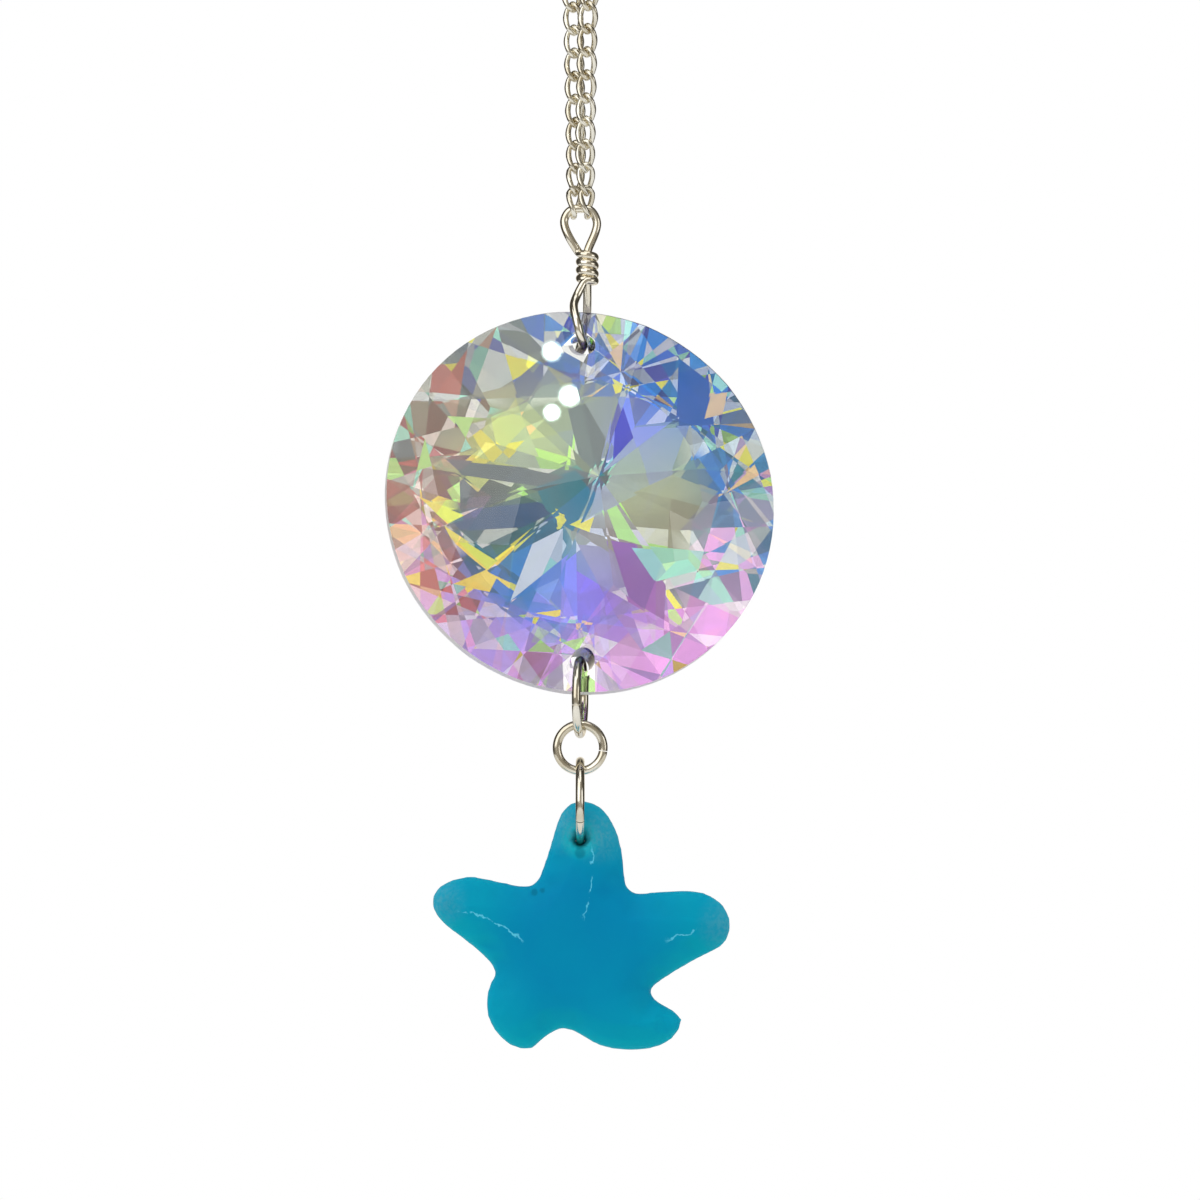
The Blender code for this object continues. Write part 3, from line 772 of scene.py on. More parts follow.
@dataclass
class Crystal:
    """The round crystal, cut facet by facet from a round blank, and its coating."""

    radius: float = 20.0 * MM
    rim_half: float = 0.7 * MM
    petals: int = 12
    petal_turn: float = math.radians(4.6)
    apex_height: float = 6.4 * MM
    tip_radius: float = 15.2 * MM
    tip_height: float = 2.6 * MM
    shoulder_radius: float = 10.7 * MM
    shift: float = 1.3 * MM
    shift_turn: float = math.radians(36.9)
    tilt: float = math.radians(17.0)
    hole_radius: float = 1.2 * MM
    hole_sides: int = 48
    top_hole_inset: float = 3.9 * MM
    bottom_hole_inset: float = 3.1 * MM
    rim_steps: int = 4
    blank_depth: float = 2.2
    drill_depth: float = 3.0
    facet_slack: float = 2e-7
    corner_merge: float = 2e-6
    flat_angle: float = math.radians(0.4)
    rim_facing: float = 0.1
    rim_starts: float = 0.95
    coating_depth: float = 0.04 * MM
    coated_facing: float = 0.5
    bare_round_hole: float = 1.55 * MM
    bare_cuts: int = 4
    hole_margin: float = 5.0 * MM
    shard_lines: int = 30
    long_shard_lines: int = 4
    front_shard_lines: int = 14
    front_line_start: float = 1.3
    line_turn: float = 2.399963
    line_stride: int = 7
    line_reach: float = 0.8
    outer_share: float = 0.5
    burst_lines: int = 3
    burst_sway: float = 0.3
    burst_beat: float = 5.0
    burst_reach: float = 5.0 * MM
    gleam_margin: float = 1.5 * MM
    gleam_start: float = 100.0 * MM
    gleam_step: float = 0.5 * MM
    depth_of_colour: float = 1.75
    petal_hues: tuple[Hue, ...] = (
        Hue.SAGE, Hue.PERIWINKLE, Hue.SAGE, Hue.TAN, Hue.TAN, Hue.VIOLET,
        Hue.PERIWINKLE, Hue.ROYAL, Hue.TEAL, Hue.SLATE, Hue.OLIVE, Hue.SAGE)
    outer_hues: tuple[Hue, ...] = (
        Hue.INDIGO, Hue.ROYAL, Hue.ROYAL, Hue.TEAL, Hue.ORCHID, Hue.ORCHID,
        Hue.LILAC, Hue.LILAC, Hue.ROSE, Hue.BRICK, Hue.TAN, Hue.SLATE)
    core_hues: tuple[Hue, ...] = (
        Hue.TEAL, Hue.SAGE, Hue.SAGE, Hue.TAN, Hue.TAN, Hue.SAGE,
        Hue.TEAL, Hue.TEAL, Hue.TEAL, Hue.TEAL, Hue.TEAL, Hue.SLATE)
    petal_shades: tuple[float, ...] = (
        0.62, 1.20, 1.10, 0.85, 1.00, 0.95, 1.20, 1.05, 0.55, 0.42, 1.15, 1.05)
    back_shade_share: float = 0.5
    outer_starts: float = 0.72
    outer_fade: float = 0.22
    core_ends: float = 0.50
    core_fade: float = 0.35
    inner_loose: float = 0.30
    hue_stray: float = 0.26
    shade_gain: float = 0.50
    shade_range: float = 1.20
    toward_corner: float = 0.25
    draw_scale: float = 7.31
    draw_step: Triple = (13.7, 3.1, 9.9)
    # painted glints: shards given these bright hues stand for lamps caught in the coating
    painted_glint_hues: tuple[Hue, ...] = (Hue.YELLOW, Hue.LIME, Hue.MINT, Hue.PEACH, Hue.CLEAR)
    painted_glint_share: float = 0.16
    painted_glint_spread: float = 0.999
    clear_share: float = 0.34
    clearing: float = 0.7
    calm_area: float = 6.0 * MM ** 2
    calm_share: float = 0.4
    same_facet: float = 0.99998
    own_tint: Pair = (0.12, 0.5)
    front_tint: Pair = (0.58, 0.7)
    back_tint: Pair = (1.0, 1.0)
    # shards placed one by one on the back: the yellow, lime, mint and peach ones are painted
    # glints of lamps in the coating; the rest are patches of its colour
    gleams: tuple[Gleam, ...] = (
        Gleam(Hue.LIME, ((2.0, 1.2), (2.9, 1.0), (6.2, -4.4), (3.8, -3.7))),
        Gleam(Hue.YELLOW, ((-16.4, 0.5), (-11.8, -1.4), (-13.5, -2.3))),
        Gleam(Hue.YELLOW, ((-13.7, -2.7), (-8.4, -6.1), (-9.5, -7.0), (-13.0, -4.0))),
        Gleam(Hue.YELLOW, ((-4.9, -2.9), (-8.2, -6.2), (-8.7, -5.8))),
        Gleam(Hue.YELLOW, ((-2.6, 0.0), (-1.4, -1.9), (-2.3, -2.7))),
        Gleam(Hue.YELLOW, ((-0.6, -2.5), (1.4, -1.5), (0.9, -3.1))),
        Gleam(Hue.YELLOW, ((-12.8, -8.4), (-9.6, -7.0), (-8.4, -7.6), (-9.2, -9.2))),
        Gleam(Hue.YELLOW, ((-11.0, 6.7), (-10.2, 7.3), (-8.1, 5.3), (-9.2, 4.1))),
        Gleam(Hue.LIME, ((-13.1, 8.7), (-10.9, 8.6), (-11.7, 6.5))),
        Gleam(Hue.MINT, ((5.6, -4.4), (12.4, -5.0), (11.9, -6.8), (7.8, -7.8))),
        Gleam(Hue.PEACH, ((3.0, 15.4), (4.4, 16.6), (4.1, 13.4))),
        Gleam(Hue.PEACH, ((12.7, 8.6), (13.4, 11.1), (15.1, 11.4), (14.6, 9.1))),
        Gleam(Hue.PEACH, ((14.8, 0.9), (17.9, 3.8), (18.3, 2.8))),
        Gleam(Hue.LIME, ((-16.6, 3.1), (-15.8, 6.4), (-15.1, 3.6))),
        Gleam(Hue.CLEAR, ((-4.9, -4.3), (-1.8, -2.7), (-3.9, -7.5), (-7.1, -10.1))),
        Gleam(Hue.LIME, ((-1.7, -14.4), (0.4, -13.7), (-0.3, -15.2))),
        Gleam(Hue.MINT, ((8.4, -17.2), (12.0, -11.5), (10.3, -14.4))),
        Gleam(Hue.SLATE, ((-0.9, 9.6), (0.5, 10.1), (2.6, 6.4), (1.8, 3.2), (0.5, 4.3))),
        Gleam(Hue.SLATE, ((-14.0, 4.6), (-12.0, 4.9), (-6.4, 3.6), (0.2, 3.2), (-4.3, 1.6),
                          (-12.0, 2.7))),
        Gleam(Hue.TEAL, ((-4.6, 1.6), (0.5, 3.0), (1.5, 2.7), (-1.1, -2.6), (-3.5, -0.8))),
        Gleam(Hue.NAVY, ((-12.9, -2.1), (-9.6, -0.6), (-4.3, 0.0), (-2.2, -0.8), (-5.9, -2.6),
                         (-12.0, -3.0))),
        Gleam(Hue.INDIGO, ((4.2, 10.2), (5.4, 6.6), (3.3, 4.3), (3.5, 7.5))),
        Gleam(Hue.AZURE, ((10.1, 14.9), (13.2, 12.5), (13.6, 8.3), (9.8, 8.2))),
        Gleam(Hue.PLUM, ((3.1, -3.9), (5.6, -4.3), (8.5, -8.4), (8.4, -12.0), (5.0, -10.0))),
        Gleam(Hue.BRICK, ((-11.6, 15.6), (-12.3, 10.9), (-14.6, 11.1))),
    )
    glass: CrystalFinish = CrystalFinish()
    rim: CrystalFinish = CrystalFinish("ground rim", ground=0.5, clearness=0.35)
    back_coating: CoatingFinish = CoatingFinish("back coating", 0.22)
    front_coating: CoatingFinish = CoatingFinish("front coating", 0.03)
    middle: Vector = field(init=False)
    standing: Matrix = field(init=False)
    gleam_shapes: list[tuple[Hue, list[Vector]]] = field(init=False, default_factory=list)

    def __post_init__(self) -> None:
        """Find the crystal's directions and its place from its solid."""
        across, up = math.sin(self.shift_turn), math.cos(self.shift_turn)
        front = Vector((math.sin(self.tilt) * across, -math.cos(self.tilt),
                        math.sin(self.tilt) * up))
        top = Vector((0.0, front.z, -front.y)).normalized()
        turn = Matrix((top.cross(front), top, front)).transposed().to_4x4()
        self.standing = Matrix.Translation(centre_of("crystal")) @ turn
        self.middle = Vector((across, up, 0.0)) * self.shift

    def corner(self, side: int, radius: float, angle: float, height: float) -> Vector:
        """Return a corner of one side's cut, about that side's own middle."""
        flat = Vector((math.sin(angle), math.cos(angle), 0.0)) * radius
        return side * self.middle + flat + Vector((0.0, 0.0, side * height))

    def rim_point(self, side: int, step: int) -> Vector:
        """Return one of the rim's corners."""
        angle = self.petal_turn + math.tau * step / (self.petals * self.rim_steps)
        return Vector((self.radius * math.sin(angle), self.radius * math.cos(angle),
                       side * self.rim_half))

    def tips(self, side: int, height: float) -> list[tuple[float, Vector]]:
        """Return the petals' tips on one side.

        Args:
            side: 1 for the front, -1 for the back.
            height: how high the tips are taken.

        Returns:
            Each petal's direction and its tip.
        """
        step = math.tau / self.petals
        turn = self.petal_turn + (0.0 if side > 0 else step / 2)
        return [(turn + k * step, self.corner(side, self.tip_radius, turn + k * step, height))
                for k in range(self.petals)]

    def facet_planes(self, side: int) -> list[tuple[Vector, Vector]]:
        """Return the planes that cut one side, each as a point and an outward normal.

        Args:
            side: 1 for the front, -1 for the back.

        Returns:
            The twelve petals first, then the facets out to the rim.
        """
        step = math.tau / self.petals
        turn = self.petal_turn + (0.0 if side > 0 else step / 2)
        half = self.rim_steps // 2
        first = 0 if side > 0 else half
        reach = self.shoulder_radius * math.cos(step / 2)
        height = self.apex_height - (self.apex_height - self.tip_height) * reach / self.tip_radius
        apex = self.corner(side, 0.0, 0.0, self.apex_height)
        inner, outer = [], []
        for k, (_, tip) in enumerate(self.tips(side, self.tip_height)):
            before, after = (
                self.corner(side, self.shoulder_radius, turn + (k + way) * step, height)
                for way in (-0.5, 0.5))
            arc = [self.rim_point(side, first + k * self.rim_steps + n)
                   for n in range(-half, half + 1)]
            inner.append((apex, before, after))
            outer += [(before, arc[0], tip), (tip, arc[-1], after)]
            outer += [(tip, start, end) for start, end in zip(arc, arc[1:])]
        planes = []
        for a, b, c in inner + outer:
            normal = (b - a).cross(c - a).normalized()
            planes.append((a, normal if normal.z * side > 0 else -normal))
        return planes

    def cut_blank(self) -> bpy.types.Object:
        """Cut every facet from a round blank.

        Returns:
            The crystal lying flat, its front up, still without its holes.
        """
        Bench.clear()
        bpy.ops.mesh.primitive_cylinder_add(
            vertices=2 * self.petals * self.rim_steps, radius=self.radius,
            depth=self.blank_depth * self.apex_height, rotation=(0.0, 0.0, -self.petal_turn))
        blank = bpy.context.object
        bpy.ops.object.transform_apply(location=True, rotation=True, scale=True)
        Bench.edit()
        for side in (1, -1):
            for place, normal in self.facet_planes(side):
                bpy.ops.mesh.select_all(action="SELECT")
                bpy.ops.mesh.bisect(plane_co=place, plane_no=normal, use_fill=True,
                                    clear_outer=True, threshold=self.facet_slack)
        bpy.ops.mesh.select_all(action="SELECT")
        bpy.ops.mesh.dissolve_limited(angle_limit=self.flat_angle)
        bpy.ops.object.mode_set(mode="OBJECT")
        Bench.tidy(blank, self.corner_merge)
        bpy.ops.object.shade_flat()
        return blank

    def drill(self, blank: bpy.types.Object, hole: Vector) -> None:
        """Drill one of the crystal's two holes through it.

        Args:
            blank: the cut crystal, lying flat.
            hole: the hole's middle.
        """
        Bench.clear()
        bpy.ops.mesh.primitive_cylinder_add(
            vertices=self.hole_sides, radius=self.hole_radius,
            depth=self.drill_depth * self.apex_height, location=hole)
        drill = bpy.context.object
        Bench.apply(blank, "BOOLEAN", operation="DIFFERENCE", solver="EXACT", object=drill)
        bpy.data.objects.remove(drill)

    def around(self, ring: tuple[Hue, ...], turns: float) -> Vector:
        """Return a ring of hues' colour at a share of the way round.

        Args:
            ring: the hues, from the top and clockwise.
            turns: how far round, 1 for a whole turn.

        Returns:
            The colour as linear light.
        """
        spot = (turns % 1.0) * len(ring)
        first, after = ring[int(spot)], ring[(int(spot) + 1) % len(ring)]
        return first.linear().lerp(after.linear(), spot - int(spot))

    def hue_at(self, middle: Vector, corner: Vector, normal: Vector, loose: float,
               petal: int | None) -> Vector:
        """Return the coating's colour at a corner of one shard; some shards get a painted glint's
        colour.

        Args:
            middle: the shard's middle, lying flat, in metres.
            corner: the corner.
            normal: the shard's normal.
            loose: how far the shard's colour may stray from its neighbours', 0 to 1.
            petal: which of the front's petals it lies on, or none.

        Returns:
            The colour as linear light.
        """
        side = 1 if normal.z > 0 else -1
        key = Vector((round(middle.x / MM, 1), round(middle.y / MM, 1), side)) * self.draw_scale
        stray, kind, depth = (
            0.5 + 0.5 * noise.cell(key + Vector([k * step for step in self.draw_step]))
            for k in range(3))
        # a back shard inside a placed shape takes its hue outright; the yellow, lime, mint and
        # peach ones are painted glints
        for hue, shape in self.gleam_shapes:
            if side < 0 and self.is_inside(middle, shape):
                return Vector([part ** self.depth_of_colour for part in hue.linear()])
        out = middle.lerp(corner, self.toward_corner) - side * self.middle
        turns = math.atan2(out.x, out.y) / math.tau - self.petal_turn / math.tau
        reach = out.xy.length / self.tip_radius
        share = ramp(reach, self.outer_starts, self.outer_fade)
        core = ramp(self.core_ends - reach, 0.0, self.core_fade) if side < 0 else 0.0
        if side > 0:
            share = 1.0 if petal is None else 0.0
            turns = turns if petal is None else petal / self.petals
        loose *= share if side > 0 else self.inner_loose + (1.0 - self.inner_loose) * share
        turns += self.hue_stray * loose * (stray - 0.5)
        colour = self.around(self.petal_hues, turns).lerp(
            self.around(self.outer_hues, turns), share)
        colour = colour.lerp(self.around(self.core_hues, turns), core)
        darker = 1.0 - self.petal_shades[round((turns % 1.0) * self.petals) % self.petals]
        colour = colour * (1.0 - darker * (1.0 - share)
                           * (1.0 if side > 0 else self.back_shade_share))
        # painted glints: a random share of the loose shards take a bright glint hue
        if kind > 1.0 - self.painted_glint_share * loose:
            colour = self.painted_glint_hues[int(stray * self.painted_glint_spread * len(self.painted_glint_hues))].linear()
        elif kind < self.clear_share * loose:
            colour = colour.lerp(Hue.CLEAR.linear(), self.clearing)
        shade = 1.0 + loose * (self.shade_gain - self.shade_range * (1.0 - depth))
        return Vector([min(shade * part ** self.depth_of_colour, 1.0) for part in colour])

    def tint(self, piece: bpy.types.Object, strength: float, loose: float) -> None:
        """Write the coating's colour, painted glints included, on every corner of a piece's
        facets.

        Args:
            piece: the piece, lying flat.
            strength: 0 for clear, 1 for the full colour.
            loose: how far the shards' colours may stray, 0 to 1.
        """
        white = Vector(WHITE)
        petals = [normal for _, normal in self.facet_planes(1)[:self.petals]]
        # the tint holds the coating's colour and its painted glints
        layer = piece.data.color_attributes.new("tint", "FLOAT_COLOR", "CORNER")
        for face in piece.data.polygons:
            petal = next((index for index, normal in enumerate(petals)
                          if normal.dot(face.normal) > self.same_facet), None)
            free = loose if face.area < self.calm_area else self.calm_share * loose
            for loop in face.loop_indices:
                place = piece.data.vertices[piece.data.loops[loop].vertex_index].co
                colour = self.hue_at(face.center, place, face.normal, free, petal)
                layer.data[loop].color = (*white.lerp(colour, strength), 1.0)

    @staticmethod
    def is_inside(place: Vector, shape: list[Vector]) -> bool:
        """Return whether a place lies inside a convex shape, both lying flat."""
        turns = [(b - a).xy.cross((place - a).xy) for a, b in zip(shape, shape[1:] + shape[:1])]
        return all(t > 0 for t in turns) or all(t < 0 for t in turns)

    def look_through(self, blank: bpy.types.Object, gleam: Gleam) -> list[Vector]:
        """Find where a gleam lies on the back, as seen through the front's facet.

        Args:
            blank: the cut crystal, lying flat.
            gleam: the placed shard; the yellow, lime, mint and peach ones are painted glints.

        Returns:
            Its corners on the back, lying flat.
        """
        to_flat = self.standing.inverted()
        look = (to_flat.to_3x3() @ Vector((0.0, 1.0, 0.0))).normalized()
        starts = [to_flat @ (self.standing.translation
                             + Vector((x * MM, -self.gleam_start, z * MM)))
                  for x, z in gleam.corners]
        middle = sum(starts, Vector()) / len(starts)
        _, place, normal, _ = blank.ray_cast(middle, look)
        ratio, facing = 1.0 / self.glass.index, -look.dot(normal)
        bent = ratio * look + normal * (
            ratio * facing - math.sqrt(1.0 - ratio ** 2 * (1.0 - facing ** 2)))
        corners = []
        for start in starts:
            front = start + look * ((place - start).dot(normal) / look.dot(normal))
            corners.append(blank.ray_cast(front + bent * self.gleam_step, bent)[1].copy())
        return corners

    def hole_middles(self) -> tuple[Vector, Vector]:
        """Return the middles of the top and the bottom hole, lying flat."""
        return (Vector((0.0, self.radius - self.top_hole_inset, 0.0)),
                Vector((0.0, -(self.radius - self.bottom_hole_inset), 0.0)))

    def cut_lines(self, count: int, long_lines: int, start: float) -> None:
        """Split the open skin into shards along straight lines.

        Args:
            count: how many lines.
            long_lines: how many of them also cross the petals.
            start: the first line's direction.
        """
        for line in range(count):
            turn = start + self.line_turn * line
            reach = self.radius * self.line_reach * math.sqrt(
                ((line * self.line_stride) % count) / count)
            along = Vector((math.cos(turn), math.sin(turn), 0.0))
            inner = 0.0 if line < long_lines else self.outer_share * self.radius
            Bench.choose(Part.FACES, lambda place, _: place.xy.length > inner)
            Bench.cut(along * reach, along)

    def cut_bursts(self, side: int) -> None:
        """Split the shards round each petal's tip like the rays of a star.

        Args:
            side: 1 for the front, -1 for the back.
        """
        for k, (turn, tip) in enumerate(self.tips(side, 0.0)):
            sway = self.burst_sway * math.sin(self.burst_beat * k)
            for ray in range(self.burst_lines):
                angle = turn + math.pi * (ray + 0.5 + sway) / self.burst_lines
                Bench.choose_near(tip, self.burst_reach)
                Bench.cut(tip, Vector((math.cos(angle), math.sin(angle), 0.0)))

    def cut_gleams(self) -> None:
        """Cut the placed shards' outlines into the back, the painted glints among them."""
        for _, shape in self.gleam_shapes:
            middle = sum(shape, Vector()) / len(shape)
            reach = max((corner - middle).length for corner in shape) + self.gleam_margin
            for start, end in zip(shape, shape[1:] + shape[:1]):
                Bench.choose_near(middle, reach)
                Bench.cut(start, (end - start).xy.orthogonal().to_3d())

    def bare_holes(self) -> None:
        """Cut the skin round both holes, so that it can be taken off there."""
        for hole in self.hole_middles():
            for step in range(self.bare_cuts):
                Bench.choose_near(hole, self.hole_margin)
                turn = math.pi * step / self.bare_cuts
                along = Vector((math.cos(turn), math.sin(turn), 0.0))
                for way in (1, -1):
                    Bench.cut(hole + along * (way * self.bare_round_hole), along)

    def make_coating(self, blank: bpy.types.Object, side: int) -> bpy.types.Object:
        """Make one side's coating as a thin skin just inside its facets.

        Args:
            blank: the cut crystal, lying flat.
            side: 1 for the front, -1 for the back.

        Returns:
            The skin, lying flat and split into shards, with no skin round the holes.
        """
        skin = Bench.clone(blank)
        Bench.take(skin)
        Bench.edit()
        Bench.choose(Part.FACES, lambda _, normal: normal.z * side < self.coated_facing)
        bpy.ops.mesh.delete(type="FACE")
        bpy.ops.mesh.select_all(action="SELECT")
        bpy.ops.transform.translate(value=(0.0, 0.0, -side * self.coating_depth))
        self.bare_holes()
        self.cut_bursts(side)
        if side > 0:
            self.cut_lines(self.front_shard_lines, 0, self.front_line_start)
        else:
            self.cut_lines(self.shard_lines, self.long_shard_lines, 0.0)
            self.cut_gleams()
        for hole in self.hole_middles():
            Bench.choose_near(hole, self.bare_round_hole)
            bpy.ops.mesh.delete(type="FACE")
        bpy.ops.object.mode_set(mode="OBJECT")
        self.tint(skin, *(self.back_tint if side < 0 else self.front_tint))
        return skin

    def build(self) -> None:
        """Cut, coat, drill and hang the crystal."""
        blank = self.cut_blank()
        self.gleam_shapes = [(gleam.hue, self.look_through(blank, gleam)) for gleam in self.gleams]
        front, back = self.make_coating(blank, 1), self.make_coating(blank, -1)
        for hole in self.hole_middles():
            self.drill(blank, hole)
        self.tint(blank, *self.own_tint)
        for piece in (blank, front, back):
            piece.data.transform(self.standing)
        Bench.finish(blank, "cut_crystal", self.glass.material(), Slot.CRYSTAL, "crystal")
        blank.data.materials.append(self.rim.material())
        centre, facing = self.standing.translation, self.standing.col[2].xyz
        for face in blank.data.polygons:
            outside = (face.center - centre).length > self.rim_starts * self.radius
            if outside and abs(face.normal.dot(facing)) < self.rim_facing:
                face.material_index = 1
        Bench.finish(front, "front_coating", self.front_coating.material(), Slot.CRYSTAL)
        Bench.finish(back, "back_coating", self.back_coating.material(), Slot.CRYSTAL)


# ---------------------------------------------------------------- starfish


@dataclass
class Starfish:
    """The frosted starfish: the solid's form made fine and soft, with flaws in its skin.

    Places and reaches without a unit are in mm from the hole, across and up.
    """

    grain: float = 0.32 * MM
    softening: float = 0.5
    soft_rounds: int = 6
    tips: tuple[Pair, ...] = ((-1.4, 1.6), (2.1, 0.6), (15.0, -8.6), (-14.6, -6.2))
    dust_reach: float = 3.6
    dust_fall: float = 1.2
    dark_spots: tuple[Triple, ...] = (
        (0.0, -1.4, 0.55), (5.4, -5.1, 0.45), (-4.6, -5.4, 0.35), (-3.8, -5.2, 0.25))
    darkest: float = 0.5
    dark_start: float = 1.5
    dark_fall: float = 1.3
    flaws: tuple[tuple[Pair, ...], ...] = (
        ((-11.6, -7.4), (-10.4, -7.6), (-9.0, -8.2), (-7.6, -8.9), (-6.0, -10.0)),
        ((1.2, -1.3), (1.3, -3.0), (1.0, -5.4), (0.6, -7.4)),
        ((9.2, -10.0), (10.2, -9.6), (11.3, -9.2)),
    )
    farthest: float = 0.9
    middle: Pair = (0.3, -10.4)
    body_radius: float = 5.5
    arm_light: float = 0.45
    under_light: float = 0.2
    most_light: float = 0.8
    hole_edge: float = 1.0
    hole_fade: float = 1.2
    hole_drop: float = 0.7 * MM
    hole_radius: float = 0.98 * MM
    hole_depth: float = 1.8 * MM
    waist: float = 0.47 * MM
    waist_reach: float = 2.0 * MM
    wire_below: float = 0.25 * MM
    finish: SeaGlassFinish = SeaGlassFinish()

    def narrow_hole(self, star: bpy.types.Object, hole: Vector) -> None:
        """Narrow the hole to a waist round the ring's wire, as drilled from both sides.

        Args:
            star: the starfish.
            hole: the middle of its hole.
        """
        for point in star.data.vertices:
            depth = min(abs(point.co.y - hole.y) / self.hole_depth, 1.0) ** 2
            waist = self.waist + (self.hole_radius - self.waist) * depth
            out = Vector((point.co.x - hole.x, point.co.z - hole.z))
            near = 1.0 - (out.length - self.hole_radius) / (self.waist_reach - self.hole_radius)
            if near > 0.0:
                near = min(near, 1.0)
                moved = out * (1.0 - near * (1.0 - waist / self.hole_radius))
                moved.y -= near * self.wire_below * (1.0 - depth)
                point.co.x, point.co.z = hole.x + moved.x, hole.z + moved.y

    def nearest_flaw(self, flat: Vector) -> Pair:
        """Find the flaw nearest to a place.

        Args:
            flat: the place, in mm from the hole.

        Returns:
            How far it is, and how far aside of its line the place lies.
        """
        best, aside = self.farthest, 0.0
        for line in self.flaws:
            for start, end in zip(line, line[1:]):
                start, along = Vector(start), (Vector(end) - Vector(start)).normalized()
                reach, off = (flat - start).dot(along), (flat - start).cross(along)
                past = max(0.0, -reach, reach - (Vector(end) - start).length)
                if abs(off) + past < best:
                    best, aside = abs(off) + past, off
        return best, aside

    def mark(self, star: bpy.types.Object, hole: Vector) -> None:
        """Write where the glass is dusty, lit from behind, dark or flawed.

        Args:
            star: the starfish.
            hole: the middle of its hole.
        """
        marks: dict[str, list[float]] = {
            "dust": [], "lit": [], "shade": [], "flaw": [], "near_flaw": [], "off_hole": []}
        tips = [Vector(tip) for tip in self.tips]
        for point in star.data.vertices:
            flat = Vector((point.co.x - hole.x, point.co.z - hole.z)) / MM
            near = min((flat - tip).length for tip in tips)
            marks["dust"].append(max(0.0, 1.0 - near / self.dust_reach) ** self.dust_fall)
            off_hole = ramp(flat.length, self.hole_edge, self.hole_fade)
            marks["off_hole"].append(off_hole)
            arm = ramp((flat - Vector(self.middle)).length / self.body_radius, 1.0, 1.0)
            light = max(0.0, -self.under_light - point.normal.z) + self.arm_light * arm
            marks["lit"].append(min(light + 1.0 - off_hole, self.most_light
                                    + (1.0 - self.most_light) * (1.0 - off_hole)))
            dark = min((flat - Vector((x, z))).length / r for x, z, r in self.dark_spots)
            marks["shade"].append(
                min(max(0.0, self.dark_start - self.dark_fall * dark), self.darkest))
            best, aside = (
                self.nearest_flaw(flat) if point.co.y < hole.y else (self.farthest, 0.0))
            marks["flaw"].append(aside)
            marks["near_flaw"].append(1.0 - best / self.farthest)
        for name, values in marks.items():
            star.data.attributes.new(name, "FLOAT", "POINT").data.foreach_set("value", values)

    def build(self) -> None:
        """Make the starfish fine and smooth, mark it and dress it."""
        low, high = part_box("starfish_ring")
        hole = Vector(((low.x + high.x) / 2, (low.y + high.y) / 2, low.z + self.hole_drop))
        star = Bench.copy_node("starfish")
        Bench.apply(star, "REMESH", mode="VOXEL", voxel_size=self.grain)
        Bench.apply(star, "SMOOTH", factor=self.softening, iterations=self.soft_rounds)
        Bench.smooth(star, 1)
        Bench.tidy(star)
        bpy.ops.object.shade_smooth()
        self.narrow_hole(star, hole)
        self.mark(star, hole)
        Bench.finish(star, "sea_glass_starfish", self.finish.material(), Slot.SEA_GLASS,
                     "starfish")


# ---------------------------------------------------------------- studio


@dataclass(frozen=True)
class SoftBox:
    """A square soft box: its name, place and side in metres, and its power."""

    name: str
    place: Triple
    size: float
    energy: float


